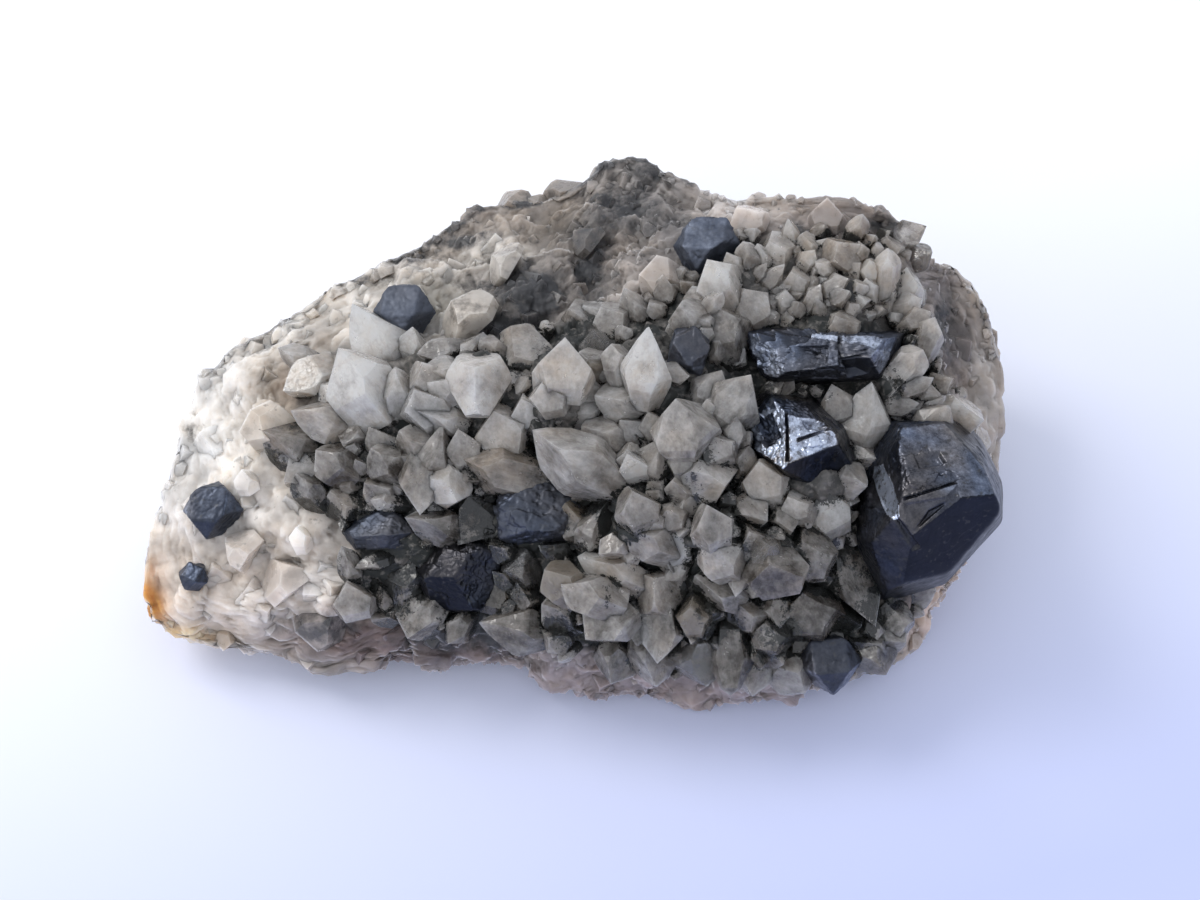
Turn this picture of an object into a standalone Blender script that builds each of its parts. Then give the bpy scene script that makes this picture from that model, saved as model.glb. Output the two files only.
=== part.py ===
"""A mineral specimen: a druse of rock crystal quartz, with dark metallic galena crystals, on its pale host rock.

Metres, +Z up. The specimen rests on its flat underside on the plane Z = 0, with its origin under its middle.
Its upper side is laid out as someone looking down at it from the front sees it: a place is a point of a picture
of 1200 by 900, and a level in millimetres, which says how far the place stands towards the viewer.
"""

import math
import random

import bmesh
import bpy
import numpy as np
from mathutils import Matrix, Vector

MM = 0.001

# Driving dimensions
SPECIMEN_LENGTH = 85 * MM
PICTURE_LENGTH = 912  # the same length in the picture, were it all at level 0
FIT_GAP = 0.3 * MM  # left all round a crystal that sits in a socket
CRUST_THICKNESS = 1.2  # millimetres of quartz under the druse's points

# How the viewer looks at it
PICTURE_MIDDLE = np.array([600.0, 450.0])
FOCAL = 2000.0  # picture units: a 60 mm lens on a 36 mm wide picture
VIEW_ELEVATION = math.radians(60)
VIEW_DISTANCE = FOCAL * SPECIMEN_LENGTH / PICTURE_LENGTH
MIDDLE = np.array([2.0, -8.4, 23.6]) * MM  # the point that the viewer looks at
FORWARD = np.array([0.0, math.cos(VIEW_ELEVATION), -math.sin(VIEW_ELEVATION)])
UPWARD = np.array([0.0, math.sin(VIEW_ELEVATION), math.cos(VIEW_ELEVATION)])
RIGHTWARD = np.array([1.0, 0.0, 0.0])
EYE = MIDDLE - VIEW_DISTANCE * FORWARD

# The rock's rim as the viewer sees it, from the left tip and over the back: x, y and level
ROCK_RIM = (
    (145, 600, -9), (144, 558, -10), (158, 516, -11), (172, 468, -12), (190, 418, -13),
    (203, 378, -14), (230, 347, -15), (266, 331, -15), (330, 290, -16), (364, 273, -16),
    (426, 243, -17), (458, 221, -17), (488, 207, -18), (542, 203, -18), (584, 180, -18),
    (604, 164, -18), (628, 158, -18), (656, 168, -17), (693, 187, -16), (727, 201, -14),
    (772, 198, -12), (817, 201, -11), (861, 205, -10), (900, 222, -9), (921, 250, -10),
    (934, 268, -14), (956, 266, -16), (974, 282, -16), (991, 312, -16), (1001, 355, -15),
    (1003, 395, -14), (994, 440, -14), (985, 490, -13), (968, 545, -12), (955, 586, -13),
    (932, 612, -14), (919, 646, -14), (884, 668, -12), (846, 688, -13), (809, 691, -12),
    (760, 696, -12), (713, 704, -12), (697, 710, -12), (667, 700, -12), (627, 692, -11),
    (586, 691, -11), (545, 682, -11), (527, 665, -11), (500, 656, -11), (456, 654, -11),
    (408, 656, -10), (376, 661, -10), (344, 663, -10), (320, 668, -10), (303, 664, -10),
    (286, 652, -10), (219, 650, -10), (170, 633, -10), (152, 618, -9),
)

# The lie of the rock inside that rim: x, y and level
ROCK_LEVELS = (
    # the front half of the dome, which the main druse covers
    (560, 400, 0), (650, 380, 1), (700, 450, 2.5), (640, 520, 2.5), (720, 540, 3), (780, 560, 2),
    (820, 480, 1), (600, 600, 0.5), (700, 620, 0), (780, 640, -1.5), (860, 635, -3), (885, 600, -3),
    # its brow, above the undercut front wall
    (560, 640, -2.5), (650, 665, -3.5), (740, 672, -3.5), (800, 668, -3.5),
    (600, 678, -8), (700, 697, -9), (820, 684, -8), (500, 640, -7), (400, 640, -7), (320, 646, -7),
    # the trough that opens to the front
    (500, 600, -5.5), (470, 560, -4.5), (540, 540, -3.5), (400, 545, -4), (440, 620, -6.5),
    # the hollow on the left of the druse
    (380, 450, -5), (430, 400, -3.5), (480, 380, -2), (340, 400, -6), (480, 450, -3), (430, 480, -3),
    # the massive quartz at the left end, with its bright band
    (300, 530, -4), (240, 480, -6), (200, 520, -7), (200, 600, -6.5), (260, 610, -5),
    (330, 590, -4), (280, 440, -6), (250, 380, -10), (300, 340, -11), (360, 310, -11), (420, 290, -10),
    # the back slope and its peak
    (480, 260, -13), (520, 310, -8), (560, 270, -11), (600, 220, -14), (620, 190, -16),
    (650, 280, -7), (700, 240, -9), (740, 280, -5), (700, 330, -2), (780, 260, -6), (850, 250, -5),
    (895, 275, -4.5), (850, 300, -4), (830, 350, -1),
    # the right-hand edge, and the lower ledge behind it
    (900, 380, -1.5), (930, 420, -3), (960, 430, -6), (922, 340, -4), (955, 320, -14), (975, 390, -12),
    (930, 500, -1.5), (900, 600, -5), (938, 592, -12),
)
ROCK_MIDDLE = (590, 450)
RIM_STEPS = 66
FACE_RINGS = 13
WALL_RINGS = 5
EDGE_CROWDING = 1.25  # rings lie closer together near the rim
LEVEL_SOFTNESS = 14.0  # picture units
BASE_SHARE = 0.84  # the flat underside's outline as a share of the rim's
WALL_BULGE = 2.2 * MM
ROCK_SEED = 7

# The druse's crust as the viewer sees it
CRUST_RIM = (
    (278, 455), (285, 415), (300, 362), (345, 338), (400, 345), (445, 350), (500, 345), (545, 330),
    (580, 308), (640, 302), (690, 262), (722, 238), (760, 236), (820, 230), (880, 232), (908, 245),
    (920, 300), (930, 345), (955, 388), (974, 428), (972, 456), (946, 560), (900, 626), (884, 648),
    (850, 662), (805, 672), (755, 674), (700, 674), (650, 668), (590, 652), (545, 646), (490, 636),
    (440, 622), (385, 616), (340, 600), (350, 560), (345, 520), (300, 490),
)
CRUST_MIDDLE = (620, 490)
CRUST_STEPS = 38
CRUST_RINGS = 5
FLOOR_RINGS = 2
CRUST_DEPTH = 2.8  # millimetres that it reaches into the rock, half of that at its rim
ROOM_ABOVE = 5.0  # millimetres that the recess for it is open above

# Quartz points: where the root is, where the tip is, the width in millimetres, the tip's rise in
# millimetres above the ground at its root, and the form
PRISM, SPINDLE = "prism", "spindle"
DRUSE_POINTS = (
    # the upper edge of the main druse
    ((644, 400), (650, 324), 4.1, 2.6, SPINDLE), ((621, 378), (612, 343), 2.4, 1.2, PRISM),
    ((562, 388), (566, 336), 4.0, 2.2, PRISM), ((594, 368), (590, 360), 2.6, 3.2, PRISM),
    ((632, 404), (596, 394), 2.8, 1.6, PRISM), ((616, 442), (582, 424), 3.2, 2.2, PRISM),
    ((602, 400), (548, 426), 2.6, 1.4, SPINDLE), ((618, 488), (531, 432), 4.2, 2.4, SPINDLE),
    ((692, 450), (676, 400), 5.0, 3.2, PRISM), ((726, 416), (752, 374), 4.2, 2.4, PRISM),
    ((704, 402), (722, 372), 3.0, 1.4, PRISM), ((729, 446), (737, 416), 1.8, 1.8, PRISM),
    ((722, 456), (711, 435), 2.6, 2.0, PRISM), ((633, 472), (625, 452), 2.2, 2.8, PRISM),
    ((770, 496), (760, 464), 3.1, 3.2, PRISM), ((656, 430), (648, 412), 2.4, 1.8, PRISM),
    # the middle, where most points face the viewer
    ((588, 546), (612, 496), 3.5, 2.0, SPINDLE), ((640, 520), (636, 492), 3.0, 3.0, PRISM),
    ((582, 532), (566, 504), 2.9, 1.4, PRISM), ((681, 494), (672, 480), 2.0, 1.8, PRISM),
    ((674, 522), (667, 510), 2.0, 1.8, PRISM), ((713, 536), (708, 505), 3.0, 2.6, PRISM),
    ((727, 561), (703, 541), 3.8, 2.6, PRISM), ((736, 504), (767, 522), 3.0, 2.2, SPINDLE),
    ((668, 547), (630, 532), 3.2, 2.4, PRISM), ((682, 558), (673, 535), 2.1, 2.8, PRISM),
    ((636, 580), (580, 554), 3.4, 2.2, PRISM), ((656, 591), (650, 575), 4.1, 3.6, PRISM),
    ((730, 593), (694, 577), 3.5, 2.4, PRISM), ((774, 571), (771, 566), 4.4, 3.4, PRISM),
    ((695, 620), (690, 607), 2.7, 2.4, PRISM), ((752, 616), (729, 596), 3.4, 2.4, PRISM),
    ((809, 614), (800, 590), 4.4, 3.0, PRISM), ((773, 641), (766, 624), 2.6, 2.2, PRISM),
    ((614, 602), (562, 581), 3.2, 1.8, PRISM), ((811, 558), (805, 541), 3.9, 3.2, PRISM),
    ((802, 512), (787, 494), 2.4, 1.8, PRISM), ((829, 522), (822, 491), 3.7, 2.6, PRISM),
    ((813, 652), (800, 630), 3.6, 2.4, PRISM), ((754, 548), (748, 532), 2.6, 2.6, PRISM),
    # the front brow, where points overhang the wall
    ((620, 610), (586, 640), 3.7, 1.4, PRISM), ((648, 640), (655, 686), 4.0, 1.2, PRISM),
    ((696, 645), (707, 687), 4.1, 1.2, PRISM), ((750, 652), (754, 697), 2.8, 1.0, PRISM),
    ((746, 660), (727, 680), 2.0, 1.0, PRISM), ((752, 660), (775, 677), 2.0, 1.0, PRISM),
    ((769, 646), (781, 664), 2.4, 1.4, PRISM), ((786, 662), (804, 694), 3.4, 1.0, PRISM),
    ((546, 632), (479, 621), 3.5, 1.8, SPINDLE), ((577, 592), (545, 570), 3.2, 2.2, PRISM),
    ((558, 640), (546, 636), 2.2, 1.6, PRISM),
    # the corner right of the front
    ((866, 650), (848, 646), 3.8, 2.4, PRISM), ((892, 618), (888, 600), 3.4, 2.0, PRISM),
    ((880, 630), (907, 642), 2.6, 1.4, PRISM), ((868, 644), (888, 674), 2.8, 1.0, PRISM),
    # the trough
    ((402, 601), (410, 546), 3.5, 2.4, PRISM), ((384, 604), (370, 571), 2.6, 1.8, PRISM),
    ((523, 573), (527, 551), 3.0, 2.2, PRISM), ((495, 604), (494, 579), 2.4, 1.4, PRISM),
    # the hollow on the left
    ((481, 388), (477, 372), 4.6, 3.6, PRISM), ((431, 414), (418, 388), 3.8, 2.6, PRISM),
    ((457, 422), (410, 407), 3.4, 2.2, PRISM), ((506, 436), (490, 411), 4.4, 3.0, PRISM),
    ((531, 421), (520, 400), 2.8, 2.2, PRISM), ((552, 402), (542, 381), 2.8, 2.0, PRISM),
    ((467, 460), (458, 430), 2.8, 2.0, PRISM), ((489, 473), (486, 448), 2.6, 1.6, PRISM),
    ((426, 448), (398, 429), 2.8, 2.0, SPINDLE), ((386, 452), (371, 427), 2.6, 1.6, PRISM),
    ((382, 414), (333, 352), 4.6, 2.2, PRISM), ((399, 410), (396, 366), 2.5, 1.4, PRISM),
    ((430, 386), (424, 361), 2.6, 1.6, PRISM), ((352, 426), (291, 409), 3.4, 1.6, SPINDLE),
    ((424, 466), (418, 514), 3.1, 2.4, PRISM), ((440, 474), (457, 499), 3.0, 2.8, PRISM),
    ((399, 475), (370, 449), 2.8, 1.6, PRISM), ((352, 472), (316, 450), 3.2, 1.6, PRISM),
    ((388, 494), (366, 482), 2.8, 1.8, PRISM), ((350, 506), (330, 490), 3.0, 1.6, PRISM),
    # the right-hand edge
    ((843, 422), (832, 384), 2.9, 2.2, PRISM), ((868, 447), (874, 381), 4.0, 2.8, SPINDLE),
    ((948, 412), (984, 418), 3.0, 2.0, PRISM), ((955, 444), (958, 427), 2.3, 1.8, PRISM),
    ((964, 438), (984, 452), 2.8, 1.6, PRISM), ((932, 388), (952, 377), 2.6, 1.8, PRISM),
    ((908, 330), (932, 312), 2.4, 1.4, PRISM),
    # the coarse back of the plateau
    ((728, 300), (698, 262), 4.0, 2.4, PRISM), ((752, 316), (744, 290), 3.4, 1.8, PRISM),
    ((907, 298), (908, 267), 2.2, 1.8, PRISM), ((870, 280), (869, 260), 1.8, 1.8, PRISM),
    ((800, 288), (792, 270), 2.2, 1.6, PRISM), ((845, 330), (838, 316), 2.6, 1.6, PRISM),
    ((780, 256), (770, 240), 2.8, 1.6, PRISM), ((842, 258), (838, 240), 3.0, 1.6, PRISM),
    ((690, 322), (676, 306), 2.8, 1.8, PRISM),
)
# Points and blocks that grow from the rock itself, away from the druse
ROCK_POINTS = (
    ((306, 550), (297, 520), 2.6, 2.4, PRISM), ((250, 492), (240, 461), 2.8, 1.6, PRISM),
    ((262, 426), (292, 456), 4.2, 2.2, PRISM), ((312, 632), (340, 606), 3.8, 1.6, PRISM),
    ((252, 556), (226, 536), 4.4, 1.4, PRISM), ((292, 592), (268, 560), 5.2, 1.6, PRISM),
    ((205, 560), (214, 540), 3.0, 1.2, PRISM), ((240, 622), (214, 600), 4.6, 1.4, PRISM),
    ((668, 284), (634, 272), 3.2, 1.8, PRISM), ((828, 226), (829, 197), 3.0, 1.4, PRISM),
    ((752, 226), (738, 204), 3.6, 1.4, PRISM), ((470, 322), (446, 296), 4.6, 1.8, PRISM),
    ((904, 236), (927, 226), 1.9, 1.4, PRISM), ((914, 258), (934, 252), 2.0, 1.6, PRISM),
    ((506, 250), (480, 236), 4.0, 1.4, PRISM), ((590, 246), (572, 228), 3.6, 1.4, PRISM),
)
POINT_SEED = 3

# Galena crystals: where the middle is, its level, half the size between the three pairs of cube faces, how
# far out the eight corner faces lie as a share of the mean half size, and the turn in degrees: about the line
# to the viewer, then back, then about that line again
GALENA = {
    "galena_large": ((928, 508), -0.4, (5.0, 5.2, 4.9), 1.34, (45, -52, -18)),
    "galena_middle": ((799, 446), 0.8, (4.3, 3.9, 3.8), 1.14, (28, -26, 14)),
    "galena_bar": ((825, 353), -1.5, (6.8, 2.3, 2.6), 1.34, (4, -30, 7)),
    "galena_trough_left": ((385, 535), -3.6, (3.7, 2.3, 2.4), 1.22, (12, -30, 16)),
    "galena_trough_front": ((462, 573), -3.4, (3.2, 3.2, 3.0), 1.22, (40, -38, -10)),
    "galena_trough_back": ((538, 516), -2.8, (4.0, 2.6, 2.8), 1.20, (20, -24, -20)),
    "galena_front_edge": ((829, 662), -3.2, (2.3, 2.4, 2.4), 1.16, (40, -20, 10)),
    "galena_left_large": ((213, 510), -6.2, (2.3, 2.0, 2.0), 1.22, (30, -20, 12)),
    "galena_left_small": ((194, 577), -6.2, (1.3, 1.2, 1.2), 1.08, (20, -30, 0)),
    "galena_back_large": ((707, 246), -7.4, (2.7, 2.1, 2.2), 1.24, (20, -34, 16)),
    "galena_back_small": ((688, 352), 0.2, (1.8, 2.1, 1.9), 1.16, (10, -20, -24)),
    "galena_upper_left": ((404, 312), -8.6, (2.4, 2.2, 2.2), 1.18, (30, -28, 10)),
}
# Growth steps cut from the largest ones: middle and half sizes in millimetres along the crystal's own axes
GALENA_STEPS = {
    "galena_large": (((-5.4, -4.6, 5.2), (2.8, 4.2, 1.4)), ((-5.2, 1.0, 3.4), (1.3, 3.2, 2.6))),
    "galena_middle": (((-4.8, 2.6, 4.2), (3.4, 1.6, 1.2)),),
    "galena_bar": (((4.2, -2.9, 2.7), (2.2, 1.3, 1.4)), ((-4.8, -1.0, 3.0), (2.0, 1.4, 0.9))),
}


def clear_scene():
    for obj in list(bpy.data.objects):
        bpy.data.objects.remove(obj, do_unlink=True)


def seen(x, y, level):
    """World points that the viewer sees at picture points x, y, at a level in millimetres towards the viewer."""
    x, y, level = np.broadcast_arrays(*(np.asarray(v, float) for v in (x, y, level)))
    depth = VIEW_DISTANCE - level * MM
    across = (x - PICTURE_MIDDLE[0]) / FOCAL
    up = (PICTURE_MIDDLE[1] - y) / FOCAL
    ray = FORWARD + across[..., None] * RIGHTWARD + up[..., None] * UPWARD
    return EYE + depth[..., None] * ray


def cell_numbers(cells, salt):
    """A repeatable number from -1 to 1 for every whole-number cell."""
    mixed = cells[..., 0] * 73856093 ^ cells[..., 1] * 19349663 ^ cells[..., 2] * 83492791 ^ salt * 2654435
    mixed = ((mixed ^ (mixed >> 13)) * 1274126177) & 0x7FFFFFFF
    mixed = ((mixed ^ (mixed >> 15)) * 668265263) & 0x7FFFFFFF
    return (mixed & 0xFFFF) / 32767.5 - 1


def blocky(points, size, salt):
    """Flat, tilted facets: every point takes the height of the plane that its nearest cell centre carries."""
    scaled = points / size
    base = np.floor(scaled).astype(np.int64)
    nearest = np.full(len(points), np.inf)
    height = np.zeros(len(points))
    for corner in np.ndindex(3, 3, 3):
        cell = base + np.array(corner) - 1
        jitter = np.stack([cell_numbers(cell, salt + k) for k in range(3)], -1)
        offset = scaled - (cell + 0.5 + 0.42 * jitter)
        distance = (offset**2).sum(-1)
        tilt = np.stack([cell_numbers(cell, salt + k) for k in (3, 4, 5)], -1)
        plane = 0.6 * cell_numbers(cell, salt + 6) + (tilt * offset).sum(-1)
        closer = distance < nearest
        nearest = np.where(closer, distance, nearest)
        height = np.where(closer, plane, height)
    return height


def rock_roughness(points):
    """Millimetres of broken facets, coarse and finer, at world points."""
    return 0.75 * blocky(points, 7.5 * MM, ROCK_SEED) + 0.35 * blocky(points, 3.4 * MM, ROCK_SEED + 20)


def smooth_level(x, y):
    """The rock's level at picture points: the known levels, each weighed by one over its distance cubed."""
    known = np.array(ROCK_RIM + ROCK_LEVELS, float)
    x, y = (np.asarray(v, float) for v in (x, y))
    far = (x[..., None] - known[:, 0]) ** 2 + (y[..., None] - known[:, 1]) ** 2
    weight = (far + LEVEL_SOFTNESS**2) ** -1.5
    return (weight * known[:, 2]).sum(-1) / weight.sum(-1)


def ground_level(x, y):
    """The level of the rock's broken surface at picture points."""
    level = smooth_level(x, y)
    points = seen(x, y, level)
    return level + rock_roughness(points.reshape(-1, 3)).reshape(level.shape)


def rim_at(rim, middle, angles):
    """Where rays from the middle, at these angles, meet a closed outline of picture points."""
    rim = np.array([point[:2] for point in rim], float) - middle
    own = np.arctan2(rim[:, 1], rim[:, 0])
    order = np.argsort(own)
    own, reach = own[order], np.hypot(*rim[order].T)
    radius = np.interp(angles, own, reach, period=2 * math.pi)
    return np.cos(angles) * radius, np.sin(angles) * radius


def grid_faces(rings, steps, split=False):
    """Quads between successive closed rings of the same number of points, each split the same way if asked."""
    faces = []
    for ring in range(rings - 1):
        for step in range(steps):
            after = (step + 1) % steps
            a, b = ring * steps + step, ring * steps + after
            if split:
                faces += [(a, b, b + steps), (a, b + steps, a + steps)]
            else:
                faces.append((a, b, b + steps, a + steps))
    return faces


def mesh_object(name, vertices, faces, material=None):
    mesh = bpy.data.meshes.new(name)
    mesh.from_pydata([tuple(v) for v in vertices], [], faces)
    shape = bmesh.new()
    shape.from_mesh(mesh)
    bmesh.ops.recalc_face_normals(shape, faces=shape.faces)
    if shape.calc_volume(signed=True) < 0:
        bmesh.ops.reverse_faces(shape, faces=shape.faces)
    shape.to_mesh(mesh)
    shape.free()
    obj = bpy.data.objects.new(name, mesh)
    bpy.context.scene.collection.objects.link(obj)
    if material:
        mesh.materials.append(material)
    return obj


def rock_rings():
    """The rock's rings, from the middle of its face over the rim and down its walls to the underside's edge."""
    angles = np.linspace(-math.pi, math.pi, RIM_STEPS, endpoint=False)
    rim_x, rim_y = rim_at(ROCK_RIM, ROCK_MIDDLE, angles)
    rings = []
    for ring in range(1, FACE_RINGS + 1):
        share = 1 - (1 - ring / FACE_RINGS) ** EDGE_CROWDING
        x, y = ROCK_MIDDLE[0] + rim_x * share, ROCK_MIDDLE[1] + rim_y * share
        rings.append(seen(x, y, ground_level(x, y)))
    edge = rings[-1]
    centre = edge.mean(0) * (1, 1, 0)
    outward = (edge - centre) * (1, 1, 0)
    outward /= np.linalg.norm(outward, axis=1)[:, None]
    foot = centre + (edge - centre) * (BASE_SHARE, BASE_SHARE, 0)
    for ring in range(1, WALL_RINGS + 1):
        fall = ring / WALL_RINGS
        point = edge + (foot - edge) * (fall**1.6, fall**1.6, fall)
        swell = math.sin(math.pi * fall) * WALL_BULGE * edge[:, 2:] / edge[:, 2].max()
        push = rock_roughness(point)[:, None] * MM * (1 - fall)
        point = point + outward * (swell + push)
        point[:, 2] = np.maximum(point[:, 2], 0.4 * MM) if ring < WALL_RINGS else 0
        rings.append(point)
    return rings


def build_rock(name, material):
    """The host rock as one closed skin."""
    rings = rock_rings()
    crown = seen(*ROCK_MIDDLE, ground_level(*(np.array(v, float) for v in ROCK_MIDDLE)))
    vertices = np.vstack([np.vstack(rings), crown[None]])
    faces = grid_faces(len(rings), RIM_STEPS, split=True)
    top = len(vertices) - 1
    faces += [(top, (step + 1) % RIM_STEPS, step) for step in range(RIM_STEPS)]
    last = (len(rings) - 1) * RIM_STEPS
    faces.append(tuple(range(last, last + RIM_STEPS)))
    return mesh_object(name, vertices, faces, material)


def build_crust(name, grow=0.0, above=CRUST_THICKNESS, material=None):
    """The quartz crust under the points: a slab let into the rock. With grow it is the recess that it fits."""
    angles = np.linspace(-math.pi, math.pi, CRUST_STEPS, endpoint=False)
    rim_x, rim_y = rim_at(CRUST_RIM, CRUST_MIDDLE, angles)
    wider = 1 + 1.4 * grow / SPECIMEN_LENGTH * PICTURE_LENGTH / np.hypot(rim_x, rim_y)
    rings = []
    for ring in range(1, CRUST_RINGS + 1):
        share = ring / CRUST_RINGS * wider
        x, y = CRUST_MIDDLE[0] + rim_x * share, CRUST_MIDDLE[1] + rim_y * share
        rings.append(seen(x, y, ground_level(x, y) + above))
    for ring in range(FLOOR_RINGS, 0, -1):
        share = ring / FLOOR_RINGS * wider
        x, y = CRUST_MIDDLE[0] + rim_x * share, CRUST_MIDDLE[1] + rim_y * share
        depth = CRUST_DEPTH * (1.5 - ring / FLOOR_RINGS) + 1.5 * grow / MM
        rings.append(seen(x, y, smooth_level(x, y) - depth))
    middle = smooth_level(*(np.array(v, float) for v in CRUST_MIDDLE))
    poles = [middle + above, middle - CRUST_DEPTH - 1.5 * grow / MM]
    vertices = np.vstack(rings + [seen(*CRUST_MIDDLE, level)[None] for level in poles])
    faces = grid_faces(len(rings), CRUST_STEPS, split=True)
    top, last = len(vertices) - 2, (len(rings) - 1) * CRUST_STEPS
    for step in range(CRUST_STEPS):
        after = (step + 1) % CRUST_STEPS
        faces.append((top, after, step))
        faces.append((top + 1, last + step, last + after))
    return mesh_object(name, vertices, faces, material)


def quartz_point(root, tip, width, form, dice, grow=0.0):
    """One six-sided quartz crystal from root to tip, as vertices and faces.

    Its corner lines all meet in one far point, so its sides are flat. Their upper ends lie at unequal heights,
    which makes the six end faces unequal, as they are on real quartz.
    """
    axis = tip - root
    length = np.linalg.norm(axis)
    axis /= length
    side = np.cross(axis, (0.3, 0.5, 0.81))
    side /= np.linalg.norm(side)
    other = np.cross(axis, side)
    twist = dice.uniform(0, math.pi / 3)
    reach = [width / 2 * dice.uniform(0.9, 1.1) for _ in range(6)]
    cap = min(0.55 * width, 0.62 * length)
    shoulder = [length - cap * (1.12 if k % 2 else 0.84) * dice.uniform(0.92, 1.08) for k in range(6)]
    stations = [([-grow] * 6, 0.84), (shoulder, 1.0)]
    if form == SPINDLE:
        stations = [([-grow] * 6, 0.5), ([0.42 * length] * 6, 1.0), (shoulder, 0.82)]
    vertices = []
    for heights, share in stations:
        for k in range(6):
            turn = twist + k * math.pi / 3
            arm = math.cos(turn) * side + math.sin(turn) * other
            vertices.append(root + axis * heights[k] + arm * (reach[k] * share + 1.3 * grow))
    lean = (side * dice.uniform(-1, 1) + other * dice.uniform(-1, 1)) * 0.1 * width
    vertices.append(root + axis * (length + 1.8 * grow) + lean)
    apex, upper = len(vertices) - 1, (len(stations) - 1) * 6
    faces = grid_faces(len(stations), 6)
    faces += [(upper + k, upper + (k + 1) % 6, apex) for k in range(6)]
    faces.append(tuple(range(5, -1, -1)))
    return vertices, faces


def build_points(name, points, seed, grow=0.0, material=None):
    """All the quartz points of a list as one mesh. Each is rooted a little below the ground that it grows from."""
    vertices, faces = [], []
    dice = random.Random(seed)
    for (root_x, root_y), (tip_x, tip_y), width, rise, form in points:
        ground = float(ground_level(np.array(float(root_x)), np.array(float(root_y))))
        root = seen(root_x, root_y, ground - 0.4)
        tip = seen(tip_x, tip_y, ground + CRUST_THICKNESS + rise)
        own_vertices, own_faces = quartz_point(root, tip, width * MM, form, dice, grow)
        faces += [tuple(len(vertices) + corner for corner in face) for face in own_faces]
        vertices += own_vertices
    return mesh_object(name, vertices, faces, material)


def cut_block(planes):
    """The convex block inside planes, each a unit normal and a distance from the middle."""
    shape = bmesh.new()
    bmesh.ops.create_cube(shape, size=4 * max(distance for _, distance in planes))
    for normal, distance in planes:
        everything = shape.verts[:] + shape.edges[:] + shape.faces[:]
        cut = bmesh.ops.bisect_plane(
            shape, geom=everything, plane_co=normal * distance, plane_no=normal, clear_outer=True
        )
        rim = [edge for edge in cut["geom_cut"] if isinstance(edge, bmesh.types.BMEdge)]
        if len(rim) > 2:
            bmesh.ops.edgeloop_fill(shape, edges=rim)
    bmesh.ops.recalc_face_normals(shape, faces=shape.faces)
    return shape


def build_galena(name, grow=0.0, material=None):
    """A galena crystal: six cube faces and eight corner faces. With grow it is the socket that it sits in."""
    spot, level, half_sizes, corner_share, turn = GALENA[name]
    planes = []
    for axis, half in enumerate(half_sizes):
        for way in (-1, 1):
            normal = Vector((0, 0, 0))
            normal[axis] = way
            planes.append((normal, half * MM + grow))
    for signs in np.ndindex(2, 2, 2):
        normal = Vector([1 - 2 * sign for sign in signs]).normalized()
        planes.append((normal, sum(half_sizes) / 3 * corner_share * MM + grow))
    return placed(name, cut_block(planes), spot, level, turn, material)


def build_step(name, number):
    """A square-edged cutter that leaves a growth step in a galena crystal."""
    spot, level, _, _, turn = GALENA[name]
    middle, half_sizes = (Vector(v) * MM for v in GALENA_STEPS[name][number])
    shape = bmesh.new()
    bmesh.ops.create_cube(shape, size=2)
    bmesh.ops.scale(shape, vec=half_sizes, verts=shape.verts)
    bmesh.ops.translate(shape, vec=middle, verts=shape.verts)
    return placed(f"{name}_step_{number}", shape, spot, level, turn)


def placed(name, shape, spot, level, turn, material=None):
    """An object from a shape, at a picture point and level, turned about the line to the viewer and back."""
    first, back, last = (math.radians(angle) for angle in turn)
    viewer = Matrix((RIGHTWARD, UPWARD, -FORWARD)).transposed()
    rotation = viewer @ Matrix.Rotation(last, 3, "Z") @ Matrix.Rotation(back, 3, "X") @ Matrix.Rotation(first, 3, "Z")
    mesh = bpy.data.meshes.new(name)
    shape.to_mesh(mesh)
    shape.free()
    obj = bpy.data.objects.new(name, mesh)
    obj.matrix_world = Matrix.Translation(Vector(seen(*spot, level))) @ rotation.to_4x4()
    bpy.context.scene.collection.objects.link(obj)
    if material:
        mesh.materials.append(material)
    return obj


def joined(name, objects):
    """The objects' shapes as one mesh in world space."""
    shape = bmesh.new()
    for obj in objects:
        mesh = obj.data.copy()
        mesh.transform(obj.matrix_world)
        shape.from_mesh(mesh)
        bpy.data.meshes.remove(mesh)
        bpy.data.objects.remove(obj)
    mesh = bpy.data.meshes.new(name)
    shape.to_mesh(mesh)
    shape.free()
    result = bpy.data.objects.new(name, mesh)
    bpy.context.scene.collection.objects.link(result)
    return result


def combine(target, tool, operation):
    """Joins a helper to the target or cuts it away, and keeps the helper out of the model."""
    modifier = target.modifiers.new(f"{operation.lower()}_{tool.name}", "BOOLEAN")
    modifier.operation = operation
    modifier.solver = "EXACT"
    modifier.object = tool
    modifier.use_self = True
    tool.hide_render = True
    tool.display_type = "WIRE"


def make_material(name, colour, roughness, metallic=0.0, transmission=0.0):
    material = bpy.data.materials.new(name)
    material.use_nodes = True
    shader = material.node_tree.nodes["Principled BSDF"]
    shader.inputs["Base Color"].default_value = (*colour, 1)
    shader.inputs["Roughness"].default_value = roughness
    shader.inputs["Metallic"].default_value = metallic
    shader.inputs["Transmission Weight"].default_value = transmission
    shader.inputs["IOR"].default_value = 1.544
    return material


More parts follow.
